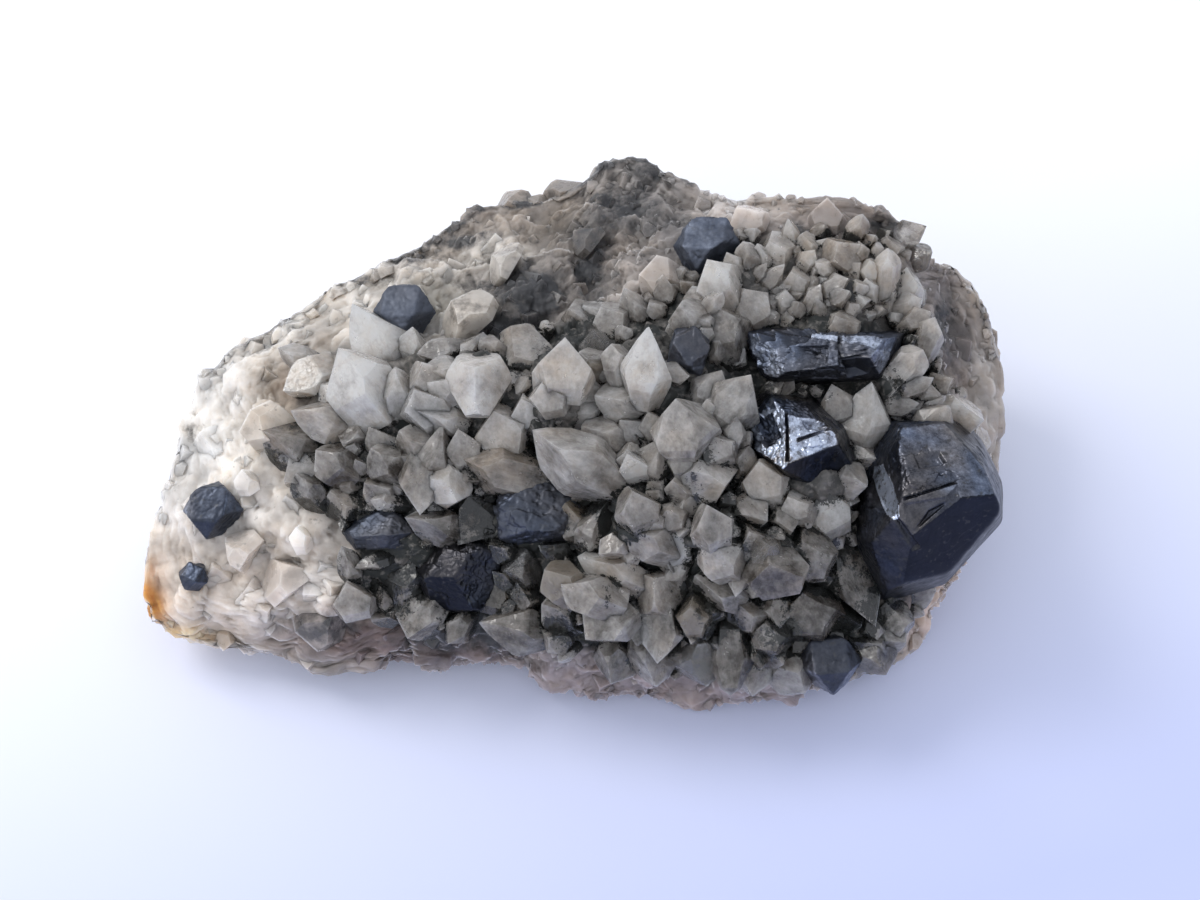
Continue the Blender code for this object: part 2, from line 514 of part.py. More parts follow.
def main():
    clear_scene()
    stone = make_material("host_rock", (0.50, 0.47, 0.44), 0.85)
    quartz = make_material("quartz", (0.56, 0.53, 0.49), 0.25, transmission=0.4)
    metal = make_material("galena", (0.12, 0.13, 0.17), 0.3, metallic=0.9)

    for name in GALENA:
        crystal = build_galena(name, material=metal)
        for number in range(len(GALENA_STEPS.get(name, ()))):
            combine(crystal, build_step(name, number), "DIFFERENCE")

    rock = build_rock("host_rock", stone)
    combine(rock, build_points("rock_points", ROCK_POINTS, ROCK_SEED), "UNION")
    room = [build_crust("crust_room", FIT_GAP, ROOM_ABOVE)]
    room += [build_points("point_room", DRUSE_POINTS, POINT_SEED, FIT_GAP)]
    room += [build_galena(name, FIT_GAP) for name in GALENA]
    combine(rock, joined("rock_hollows", room), "DIFFERENCE")

    druse = build_crust("quartz_druse", material=quartz)
    combine(druse, build_points("druse_points", DRUSE_POINTS, POINT_SEED), "UNION")
    combine(druse, joined("galena_sockets", [build_galena(name, FIT_GAP) for name in GALENA]), "DIFFERENCE")


main()
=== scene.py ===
# %% [markdown]
# # Rock crystal quartz with galena
#
# The specimen is a piece of pale, granular quartz, 85 mm long. A crust of short, pointed quartz crystals has grown
# over its front, and dark metallic galena crystals sit in that crust and in the bare rock beside it. The packed
# model gives the solid forms. This lesson lays the fine surface over them: the sugary rock, hundreds of crystals
# with six sides, the stepped and pitted galena, and what all of it is made of.

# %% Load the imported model
import math

import bpy
import numpy as np
from mathutils import Matrix, Vector


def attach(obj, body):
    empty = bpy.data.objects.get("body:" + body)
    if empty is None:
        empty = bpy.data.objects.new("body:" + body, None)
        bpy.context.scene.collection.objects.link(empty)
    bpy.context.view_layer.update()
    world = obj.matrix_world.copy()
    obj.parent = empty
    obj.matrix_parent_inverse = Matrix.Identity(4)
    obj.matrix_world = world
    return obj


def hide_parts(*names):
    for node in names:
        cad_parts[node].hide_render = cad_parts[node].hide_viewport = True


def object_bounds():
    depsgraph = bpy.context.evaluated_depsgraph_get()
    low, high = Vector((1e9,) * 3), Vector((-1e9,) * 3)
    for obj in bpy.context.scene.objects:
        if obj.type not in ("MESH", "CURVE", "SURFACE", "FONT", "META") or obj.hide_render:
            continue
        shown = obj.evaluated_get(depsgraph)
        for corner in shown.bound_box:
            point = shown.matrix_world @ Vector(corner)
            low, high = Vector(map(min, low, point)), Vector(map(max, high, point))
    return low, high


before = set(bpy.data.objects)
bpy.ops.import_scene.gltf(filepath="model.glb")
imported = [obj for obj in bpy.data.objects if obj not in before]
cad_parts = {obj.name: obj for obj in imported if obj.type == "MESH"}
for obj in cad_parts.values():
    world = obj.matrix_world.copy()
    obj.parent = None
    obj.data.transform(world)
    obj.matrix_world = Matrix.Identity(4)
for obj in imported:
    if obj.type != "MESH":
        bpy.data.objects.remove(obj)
cad_low, cad_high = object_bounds()
MM = 0.001
print("nodes:", sorted(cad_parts))
print("length, depth and height in mm:", [round(side / MM, 1) for side in cad_high - cad_low])

# %% [markdown]
# ## The viewer's place
#
# The specimen is seen from in front and 60 degrees above, through a long lens. Everything on its upper side is laid
# out as that viewer sees it: a place is a point of a picture of 1200 by 900, and a level in millimetres says how
# far the place stands towards the viewer. One function turns that into a point of the model, and one turns it back.
# The same numbers place the solids, so what is added here sits on them.

# %% The camera, and picture points to model points
PICTURE_MIDDLE = np.array([600.0, 450.0])
FOCAL = 2000.0  # picture units: a 60 mm lens on a 36 mm wide picture
VIEW_ELEVATION = math.radians(60)
PICTURE_SCALE = 912 / 85  # picture units to a millimetre, at level 0
VIEW_DISTANCE = FOCAL / PICTURE_SCALE * MM
MIDDLE = np.array([2.0, -8.4, 23.6]) * MM
FORWARD = np.array([0.0, math.cos(VIEW_ELEVATION), -math.sin(VIEW_ELEVATION)])
UPWARD = np.array([0.0, math.sin(VIEW_ELEVATION), math.cos(VIEW_ELEVATION)])
RIGHTWARD = np.array([1.0, 0.0, 0.0])
EYE = MIDDLE - VIEW_DISTANCE * FORWARD


def seen(x, y, level):
    """Model points: eye + (distance - level) * (forward + across * right + up * upward)."""
    x, y, level = np.broadcast_arrays(*(np.asarray(v, float) for v in (x, y, level)))
    across = (x - PICTURE_MIDDLE[0]) / FOCAL
    up = (PICTURE_MIDDLE[1] - y) / FOCAL
    ray = FORWARD + across[..., None] * RIGHTWARD + up[..., None] * UPWARD
    return EYE + (VIEW_DISTANCE - level * MM)[..., None] * ray


def picture_place(points):
    """The picture x and y of model points: their sideways and upward parts over their distance, times the lens."""
    offset = np.asarray(points, float) - EYE
    depth = offset @ FORWARD
    return (
        PICTURE_MIDDLE[0] + FOCAL * (offset @ RIGHTWARD) / depth,
        PICTURE_MIDDLE[1] - FOCAL * (offset @ UPWARD) / depth,
    )


def viewer_turn():
    """The rotation whose columns are the viewer's right, up and backward directions."""
    return Matrix((RIGHTWARD, UPWARD, -FORWARD)).transposed()


camera_data = bpy.data.cameras.new("camera")
camera_data.lens, camera_data.sensor_width = 60, 36
camera_data.clip_start = 0.005
camera = bpy.data.objects.new("camera", camera_data)
camera.matrix_world = Matrix.Translation(Vector(EYE)) @ viewer_turn().to_4x4()
bpy.context.scene.collection.objects.link(camera)
bpy.context.scene.camera = camera
print("the camera is", round(VIEW_DISTANCE / MM), "mm from the crystals")

# %% [markdown]
# ## The lie of the rock
#
# The rim of the rock and the height of some eighty places inside it are named here, in the order of the regions of
# the specimen. Between them the surface is a weighted mean, in which near places count most. It is smooth, and all
# the roughness comes later.

# %% The rim, the levels and the smooth surface between them
ROCK_MIDDLE = (590, 450)
ROCK_RIM = (
    (145, 600, -9), (144, 558, -10), (158, 516, -11), (172, 468, -12), (190, 418, -13),
    (203, 378, -14), (230, 347, -15), (266, 331, -15), (330, 290, -16), (364, 273, -16),
    (426, 243, -17), (458, 221, -17), (488, 207, -18), (542, 203, -18), (584, 180, -18),
    (604, 164, -18), (628, 158, -18), (656, 168, -17), (693, 187, -16), (727, 201, -14),
    (772, 198, -12), (817, 201, -11), (861, 205, -10), (900, 222, -9), (921, 250, -10),
    (934, 268, -14), (956, 266, -16), (974, 282, -16), (991, 312, -16), (1001, 355, -15),
    (1003, 395, -14), (994, 440, -14), (985, 490, -13), (968, 545, -12), (955, 586, -13),
    (932, 612, -14), (919, 646, -14), (884, 668, -12), (846, 688, -13), (809, 691, -12),
    (760, 696, -12), (713, 704, -12), (697, 710, -12), (667, 700, -12), (627, 692, -11),
    (586, 691, -11), (545, 682, -11), (527, 665, -11), (500, 656, -11), (456, 654, -11),
    (408, 656, -10), (376, 661, -10), (344, 663, -10), (320, 668, -10), (303, 664, -10),
    (286, 652, -10), (219, 650, -10), (170, 633, -10), (152, 618, -9),
)
ROCK_LEVELS = (
    # the front half of the dome, which the main druse covers
    (560, 400, 0), (650, 380, 1), (700, 450, 2.5), (640, 520, 2.5), (720, 540, 3), (780, 560, 2),
    (820, 480, 1), (600, 600, 0.5), (700, 620, 0), (780, 640, -1.5), (860, 635, -3), (885, 600, -3),
    # its brow, above the undercut front wall
    (560, 640, -2.5), (650, 665, -3.5), (740, 672, -3.5), (800, 668, -3.5),
    (600, 678, -8), (700, 697, -9), (820, 684, -8), (500, 640, -7), (400, 640, -7), (320, 646, -7),
    # the trough that opens to the front
    (500, 600, -5.5), (470, 560, -4.5), (540, 540, -3.5), (400, 545, -4), (440, 620, -6.5),
    # the hollow on the left of the druse
    (380, 450, -5), (430, 400, -3.5), (480, 380, -2), (340, 400, -6), (480, 450, -3), (430, 480, -3),
    # the massive quartz at the left end, with its bright band
    (300, 530, -4), (240, 480, -6), (200, 520, -7), (200, 600, -6.5), (260, 610, -5),
    (330, 590, -4), (280, 440, -6), (250, 380, -10), (300, 340, -11), (360, 310, -11), (420, 290, -10),
    # the back slope and its peak
    (480, 260, -13), (520, 310, -8), (560, 270, -11), (600, 220, -14), (620, 190, -16),
    (650, 280, -7), (700, 240, -9), (740, 280, -5), (700, 330, -2), (780, 260, -6), (850, 250, -5),
    (895, 275, -4.5), (850, 300, -4), (830, 350, -1),
    # the right-hand edge, and the lower ledge behind it
    (900, 380, -1.5), (930, 420, -3), (960, 430, -6), (922, 340, -4), (955, 320, -14), (975, 390, -12),
    (930, 500, -1.5), (900, 600, -5), (938, 592, -12),
)
LEVEL_SOFTNESS = 14.0  # picture units
CRUST_MIDDLE = (620, 490)
CRUST_RIM = (
    (278, 455), (285, 415), (300, 362), (345, 338), (400, 345), (445, 350), (500, 345), (545, 330),
    (580, 308), (640, 302), (690, 262), (722, 238), (760, 236), (820, 230), (880, 232), (908, 245),
    (920, 300), (930, 345), (955, 388), (974, 428), (972, 456), (946, 560), (900, 626), (884, 648),
    (850, 662), (805, 672), (755, 674), (700, 674), (650, 668), (590, 652), (545, 646), (490, 636),
    (440, 622), (385, 616), (340, 600), (350, 560), (345, 520), (300, 490),
)
CRUST_THICKNESS = 1.2  # millimetres


def smooth_level(x, y):
    """The sum of the known levels, each times its weight, over the sum of the weights: one over distance cubed."""
    known = np.array(ROCK_RIM + ROCK_LEVELS, float)
    x, y = (np.asarray(v, float) for v in (x, y))
    total, weights = np.zeros(x.shape), np.zeros(x.shape)
    for known_x, known_y, level in known:
        weight = ((x - known_x) ** 2 + (y - known_y) ** 2 + LEVEL_SOFTNESS**2) ** -1.5
        total += weight * level
        weights += weight
    return total / weights


def rim_reach(rim, middle, angles):
    """How far a closed outline lies from its middle at each angle, read off between its corners."""
    rim = np.array([point[:2] for point in rim], float) - middle
    own = np.arctan2(rim[:, 1], rim[:, 0])
    order = np.argsort(own)
    return np.interp(angles, own[order], np.hypot(*rim[order].T), period=2 * math.pi)


def smooth_step(value, low, high):
    """0 below low, 1 above high, and 3t^2 - 2t^3 between."""
    share = np.clip((value - low) / (high - low), 0, 1)
    return share * share * (3 - 2 * share)


def crust_share(x, y):
    """How much a picture point belongs to the druse's crust: 1 inside its rim, 0 outside, and soft between."""
    across, down = np.asarray(x, float) - CRUST_MIDDLE[0], np.asarray(y, float) - CRUST_MIDDLE[1]
    reach = rim_reach(CRUST_RIM, CRUST_MIDDLE, np.arctan2(down, across))
    return 1 - smooth_step(np.hypot(across, down) / reach, 0.93, 1.03)


print("the rock's level in the druse's middle:", round(float(smooth_level(*CRUST_MIDDLE)), 2), "mm")

# %% [markdown]
# ## Roughness from cells
#
# Broken quartz is made of grains. Space is cut into cubic cells with a jittered centre in each. The nearest centre
# gives a point its grain: a tilted plane makes a flat facet, the distance from the centre rounds it a little, and
# the step to the next nearest centre says where two grains meet. A hash of the cell's whole numbers gives every
# grain the same look each time, with no random state to keep.

# %% Repeatable numbers, grains and soft noise
HASH_FACTORS = (73856093, 19349663, 83492791)  # large primes, one for each axis of a cell
SALT_FACTOR = 2654435
MIXING_STEPS = ((13, 1274126177), (15, 668265263))  # bits to shift by, and the factor after it
HASH_MASK, LAST_BITS = 0x7FFFFFFF, 0xFFFF  # the 31 bits that are kept while mixing, and the 16 that are used
CENTRE_JITTER = 0.42  # of a cell


def cell_numbers(cells, salt):
    """A repeatable number from -1 to 1 for every whole-number cell: its numbers times primes, mixed bit by bit."""
    mixed = salt * SALT_FACTOR
    for axis, factor in enumerate(HASH_FACTORS):
        mixed = mixed ^ (cells[..., axis] * factor)
    for shift, factor in MIXING_STEPS:
        mixed = ((mixed ^ (mixed >> shift)) * factor) & HASH_MASK
    return (mixed & LAST_BITS) / (LAST_BITS / 2) - 1


def grains(points, size, salt):
    """For each point: the height of its nearest centre's tilted plane, its distance to that centre, and how much
    farther the next centre is. Height = a step of the grain's own + its tilt times the way from the centre."""
    scaled = points / size
    base = np.floor(scaled).astype(np.int64)
    nearest = np.full(len(points), np.inf)
    second = np.full(len(points), np.inf)
    plane = np.zeros(len(points))
    for corner in np.ndindex(3, 3, 3):
        cell = base + np.array(corner) - 1
        jitter = np.stack([cell_numbers(cell, salt + k) for k in range(3)], -1)
        offset = scaled - (cell + 0.5 + CENTRE_JITTER * jitter)
        distance = (offset**2).sum(-1)
        tilt = np.stack([cell_numbers(cell, salt + k) for k in (3, 4, 5)], -1)
        height = 0.6 * cell_numbers(cell, salt + 6) + (tilt * offset).sum(-1)
        closer = distance < nearest
        second = np.where(closer, nearest, np.minimum(second, distance))
        plane = np.where(closer, height, plane)
        nearest = np.where(closer, distance, nearest)
    return plane, np.sqrt(nearest), np.sqrt(second) - np.sqrt(nearest)


def soft_noise(points, size, salt):
    """Numbers from -1 to 1 on a cubic lattice, blended between its corners by smooth steps."""
    scaled = points / size
    base = np.floor(scaled).astype(np.int64)
    share = scaled - base
    share = share * share * (3 - 2 * share)
    total = np.zeros(len(points))
    for corner in np.ndindex(2, 2, 2):
        weight = np.prod(np.where(np.array(corner) == 1, share, 1 - share), axis=-1)
        total += weight * cell_numbers(base + np.array(corner), salt)
    return total


# grain size and salt, which keeps one set of grains apart from another
COARSE_FACETS, FINE_FACETS = (7.5 * MM, 7), (3.4 * MM, 27)
LARGE_GRAINS, SMALL_GRAINS = (2.7 * MM, 41), (1.25 * MM, 61)
GRAIN_REACH = 0.55  # of a grain's size: the distance at which a grain is neither raised nor lowered
JOINT_WIDTH = 0.1  # of a grain's size


def rock_roughness(points):
    """Millimetres of broken facets, coarse and finer: the ones that the solid rock has."""
    return 0.75 * grains(points, *COARSE_FACETS)[0] + 0.35 * grains(points, *FINE_FACETS)[0]


def fine_roughness(points):
    """Millimetres of tilted grains of two sizes, a little rounded and faintly creased where they meet.

    Height = tilt * plane + dome * (reach - distance) - crease * e to the minus edge distance, plus soft noise.
    """
    height = 0.06 * soft_noise(points, 0.5 * MM, 81)
    for size_and_salt, tilt, dome, crease in ((LARGE_GRAINS, 0.42, 0.14, 0.05), (SMALL_GRAINS, 0.22, 0.07, 0.03)):
        plane, distance, edge = grains(points, *size_and_salt)
        height += tilt * plane + dome * (GRAIN_REACH - distance) - crease * np.exp(-edge / JOINT_WIDTH)
    return height


def add_piece(name, points, faces, node, smooth=False):
    """A mesh object from arrays, kept within the model's box. It rides on the specimen and stands for a node."""
    mesh = bpy.data.meshes.new(name)
    points = np.clip(points, cad_low, cad_high)
    mesh.from_pydata(points.tolist(), [], [tuple(face) for face in faces])
    mesh.polygons.foreach_set("use_smooth", np.full(len(mesh.polygons), smooth))
    piece = bpy.data.objects.new(name, mesh)
    bpy.context.scene.collection.objects.link(piece)
    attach(piece, "root")
    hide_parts(node)
    print(name, "has", len(mesh.vertices), "points and", len(mesh.polygons), "faces")
    return piece


def add_colour(piece, name, colours):
    """A colour for every point of a piece, which its material reads by name."""
    layer = piece.data.color_attributes.new(name, "FLOAT_COLOR", "POINT")
    opaque = np.column_stack([colours, np.ones(len(colours))])
    layer.data.foreach_set("color", opaque.astype(np.float32).ravel())


def add_places(piece, name, places):
    """A place for every point of a piece, which its material reads by name."""
    layer = piece.data.attributes.new(name, "FLOAT_VECTOR", "POINT")
    layer.data.foreach_set("vector", places.astype(np.float32).ravel())


def add_number(piece, name, numbers):
    """A number for every point of a piece, which its material reads by name."""
    layer = piece.data.attributes.new(name, "FLOAT", "POINT")
    layer.data.foreach_set("value", np.asarray(numbers, np.float32))


# %% [markdown]
# ## The host rock
#
# The rock is one closed skin on a grid. The first parameter runs round it, and the second runs from the middle of
# its face over the rim, down the walls and under the flat base. The smooth skin is made first. Its normals then
# carry the roughness outwards, so that steep places get lumps as round as the flat ones. A grid was chosen over
# sculpting because every ridge then comes from a formula and can be changed by one number.

# %% The rock's smooth skin on a grid
RIM_STEPS, FACE_RINGS, WALL_RINGS, BASE_RINGS = 440, 124, 50, 16
FOOT_RING = FACE_RINGS + WALL_RINGS - 1
SOFT_FOOT_RINGS = 11  # rings above the foot over which the roughness fades
SMALLEST_RING = 0.004  # of the rim's reach: the rings at the two middles
EDGE_CROWDING = 1.25  # the face's rings stand closer together near the rim
WALL_SLANT = 1.6  # the wall leaves the rim steeply and turns in towards the foot
BASE_SHARE = 0.84
WALL_BULGE = 2.2 * MM
GROUND_THICKNESS = 1.3  # millimetres of quartz and dust between the druse's crystals


def rock_skin():
    """Rings of points, in three parts.

    Face: the level at a share of the rim's reach. Wall: from the rim to the foot, swelling by a sine. Base: flat.
    """
    angles = np.linspace(-math.pi, math.pi, RIM_STEPS, endpoint=False)
    reach = rim_reach(ROCK_RIM, ROCK_MIDDLE, angles)
    share = 1 - (1 - np.linspace(SMALLEST_RING, 1, FACE_RINGS)) ** EDGE_CROWDING
    x = ROCK_MIDDLE[0] + np.outer(share, reach * np.cos(angles))
    y = ROCK_MIDDLE[1] + np.outer(share, reach * np.sin(angles))
    level = smooth_level(x, y) + GROUND_THICKNESS * crust_share(x, y)
    face = seen(x, y, level)
    edge = face[-1]
    centre = edge.mean(0) * (1, 1, 0)
    outward = (edge - centre) * (1, 1, 0)
    outward /= np.linalg.norm(outward, axis=1)[:, None]
    foot = centre + (edge - centre) * (BASE_SHARE, BASE_SHARE, 0)
    fall = np.linspace(0, 1, WALL_RINGS + 1)[1:, None, None]
    wall = edge + (foot - edge) * np.concatenate([fall**WALL_SLANT, fall**WALL_SLANT, fall], axis=-1)
    swell = np.sin(math.pi * fall) * WALL_BULGE * edge[:, 2:] / edge[:, 2].max()
    wall = wall + outward * swell
    inward = np.linspace(1, SMALLEST_RING, BASE_RINGS + 1)[1:, None, None]
    base = centre + (foot - centre) * inward
    return np.concatenate([face, wall, base])


def grid_normals(rings):
    """Unit normals of a grid of rings: the step round it crossed with the step along it."""
    around = np.roll(rings, -1, axis=1) - np.roll(rings, 1, axis=1)
    along = np.gradient(rings, axis=0)
    normal = np.cross(around, along)
    return normal / np.maximum(np.linalg.norm(normal, axis=-1, keepdims=True), 1e-12)


def ring_faces(ring_count, steps):
    """Quads between successive rings, and one face to close each end."""
    first = np.arange(ring_count - 1)[:, None] * steps + np.arange(steps)
    after = np.arange(ring_count - 1)[:, None] * steps + (np.arange(steps) + 1) % steps
    quads = np.stack([first, first + steps, after + steps, after], -1).reshape(-1, 4)
    ends = [range(steps), range(ring_count * steps - 1, (ring_count - 1) * steps - 1, -1)]
    return [*quads.tolist(), *ends]


skin = rock_skin()
outwards = grid_normals(skin)
if (outwards[FACE_RINGS // 2] @ FORWARD).mean() > 0:
    outwards = -outwards
print("the rock's skin is a grid of", skin.shape[:2])

# %% The rock with its roughness
def roughened(rings, normals):
    """The skin moved along its normals by both roughnesses, less on the base, and never below the table."""
    points = rings.reshape(-1, 3)
    amount = rock_roughness(points) + fine_roughness(points)
    ring_number = np.arange(len(rings)).repeat(rings.shape[1])
    under = smooth_step(ring_number, FOOT_RING - SOFT_FOOT_RINGS, FOOT_RING)
    moved = points + normals.reshape(-1, 3) * (amount * (1 - under) * MM)[:, None]
    moved[:, 2] = np.maximum(moved[:, 2], 0)
    moved[ring_number >= FOOT_RING, 2] = 0
    return moved


rock_points = roughened(skin, outwards)
rock_faces = ring_faces(len(skin), RIM_STEPS)
host_rock = add_piece("host_rock_surface", rock_points, rock_faces, "host_rock", smooth=True)

# %% [markdown]
# ## Crystals with six sides
#
# A quartz crystal is a six-sided prism with a pyramid on it. At any height its cross-section is a hexagon, and the
# distance of each side from the axis says all about it: constant along the prism, and falling evenly to the tip
# above it. Three of the six end faces start lower than the others, as on real quartz, so the three larger ones
# meet at the tip. All crystals of a group are worked out at once: crystal, height and corner are three axes of
# one array. Each has only 43 faces, because there are hundreds.

# %% Crystals from roots and tips
PRISM, SPINDLE = 0.0, 1.0
SHOULDER = 0.42  # of the length: a crystal is widest there
FOOT_WIDTHS = {PRISM: 0.9, SPINDLE: 0.55}  # shares of the width at the shoulder
NECK_WIDTHS = {PRISM: 1.0, SPINDLE: 0.86}
TIP_STATIONS = (0, 0.32, 0.64, 0.94)  # shares of the way from a small end face's foot to the tip
HELPER_WAY = np.array([0.3, 0.5, 0.81])  # crossed with each crystal's axis, to get a direction across it
LONGEST_CAP = 0.7  # of the length


def crystal_frames(roots, tips):
    """Axis, length, and two directions across it for each crystal."""
    axis = tips - roots
    length = np.linalg.norm(axis, axis=1)
    axis = axis / length[:, None]
    side = np.cross(axis, HELPER_WAY)
    side /= np.linalg.norm(side, axis=1)[:, None]
    return axis, length, side, np.cross(axis, side)


def crystal_sections(length, width, form, dice):
    """Heights, and the six sides' distances from the axis at each.

    Distance = half width * body(height) on the prism. Above a side's break it falls at a steady slope, which brings
    the mean of the three large end faces to nothing at the tip. A small end face never reaches past the corner
    that its two neighbours leave it.
    """
    count = len(length)
    half = width[:, None] / 2 * dice.uniform(0.78, 1.12, (count, 6))
    large = np.arange(6) % 2 == 0
    cap = width * np.where(form == SPINDLE, dice.uniform(0.9, 1.25, count), dice.uniform(0.5, 0.9, count))
    cap = np.minimum(cap, LONGEST_CAP * length)
    low_break = length - cap
    high_break = length - cap * dice.uniform(0.5, 0.8, count)
    to_tip = [high_break + (length - high_break) * share for share in TIP_STATIONS]
    heights = np.sort(np.column_stack([np.zeros(count), SHOULDER * length, low_break, *to_tip]), axis=1)
    foot, neck = (
        np.where(form == SPINDLE, widths[SPINDLE], widths[PRISM])[:, None] for widths in (FOOT_WIDTHS, NECK_WIDTHS)
    )
    rise = heights / length[:, None]
    below, over = rise / SHOULDER, (rise - SHOULDER) / (1 - SHOULDER)
    body = np.where(below < 1, foot + (1 - foot) * below, 1 + (neck - 1) * over)
    slope = (half[:, large].mean(1) * neck[:, 0] / cap)[:, None, None]
    breaks = np.where(large, low_break[:, None], high_break[:, None])
    above = np.maximum(heights[:, :, None] - breaks[:, None, :], 0)
    distance = half[:, None, :] * body[:, :, None] - slope * above
    neighbours = np.roll(distance, 1, axis=2) + np.roll(distance, -1, axis=2)
    return heights, np.minimum(distance, np.where(large, np.inf, neighbours))


def crystal_mesh(roots, tips, width, form, seed):
    """Points, faces, and each point's share of its crystal's height, for all crystals of a group together.

    The corner between two sides lies at e * n + (f - e / 2) / sin 60 * t, with e and f the distances of the two
    sides, n the first side's outward direction and t the direction along it.
    """
    dice = np.random.default_rng(seed)
    axis, length, side, other = crystal_frames(roots, tips)
    heights, distance = crystal_sections(length, width, form, dice)
    turn = dice.uniform(0, math.pi / 3, len(length))[:, None] + np.arange(6) * math.pi / 3
    normal = np.cos(turn)[..., None] * side[:, None] + np.sin(turn)[..., None] * other[:, None]
    tangent = -np.sin(turn)[..., None] * side[:, None] + np.cos(turn)[..., None] * other[:, None]
    after = np.roll(distance, -1, axis=2)
    along = (after - distance / 2) / math.sin(math.pi / 3)
    corners = distance[..., None] * normal[:, None] + along[..., None] * tangent[:, None]
    corners += roots[:, None, None] + heights[..., None, None] * axis[:, None, None]
    apex = corners[:, -1].mean(1) + axis * (length - heights[:, -1])[:, None]
    points = np.concatenate([corners.reshape(len(length), -1, 3), apex[:, None]], axis=1)
    share = np.concatenate([(heights / length[:, None]).repeat(6, axis=1), np.ones((len(length), 1))], axis=1)
    return points.reshape(-1, 3), crystal_faces(len(length), heights.shape[1]), share.ravel()


def crystal_faces(count, stations):
    """The faces of one crystal, repeated with an offset for each: its sides, six to the tip, one at the root."""
    own = []
    for station in range(stations - 1):
        for corner in range(6):
            a, b = station * 6 + corner, station * 6 + (corner + 1) % 6
            own.append((a, b, b + 6, a + 6))
    top = (stations - 1) * 6
    own += [(top + corner, top + (corner + 1) % 6, stations * 6) for corner in range(6)]
    own.append((5, 4, 3, 2, 1, 0))
    step = stations * 6 + 1
    return [tuple(crystal * step + corner for corner in face) for crystal in range(count) for face in own]
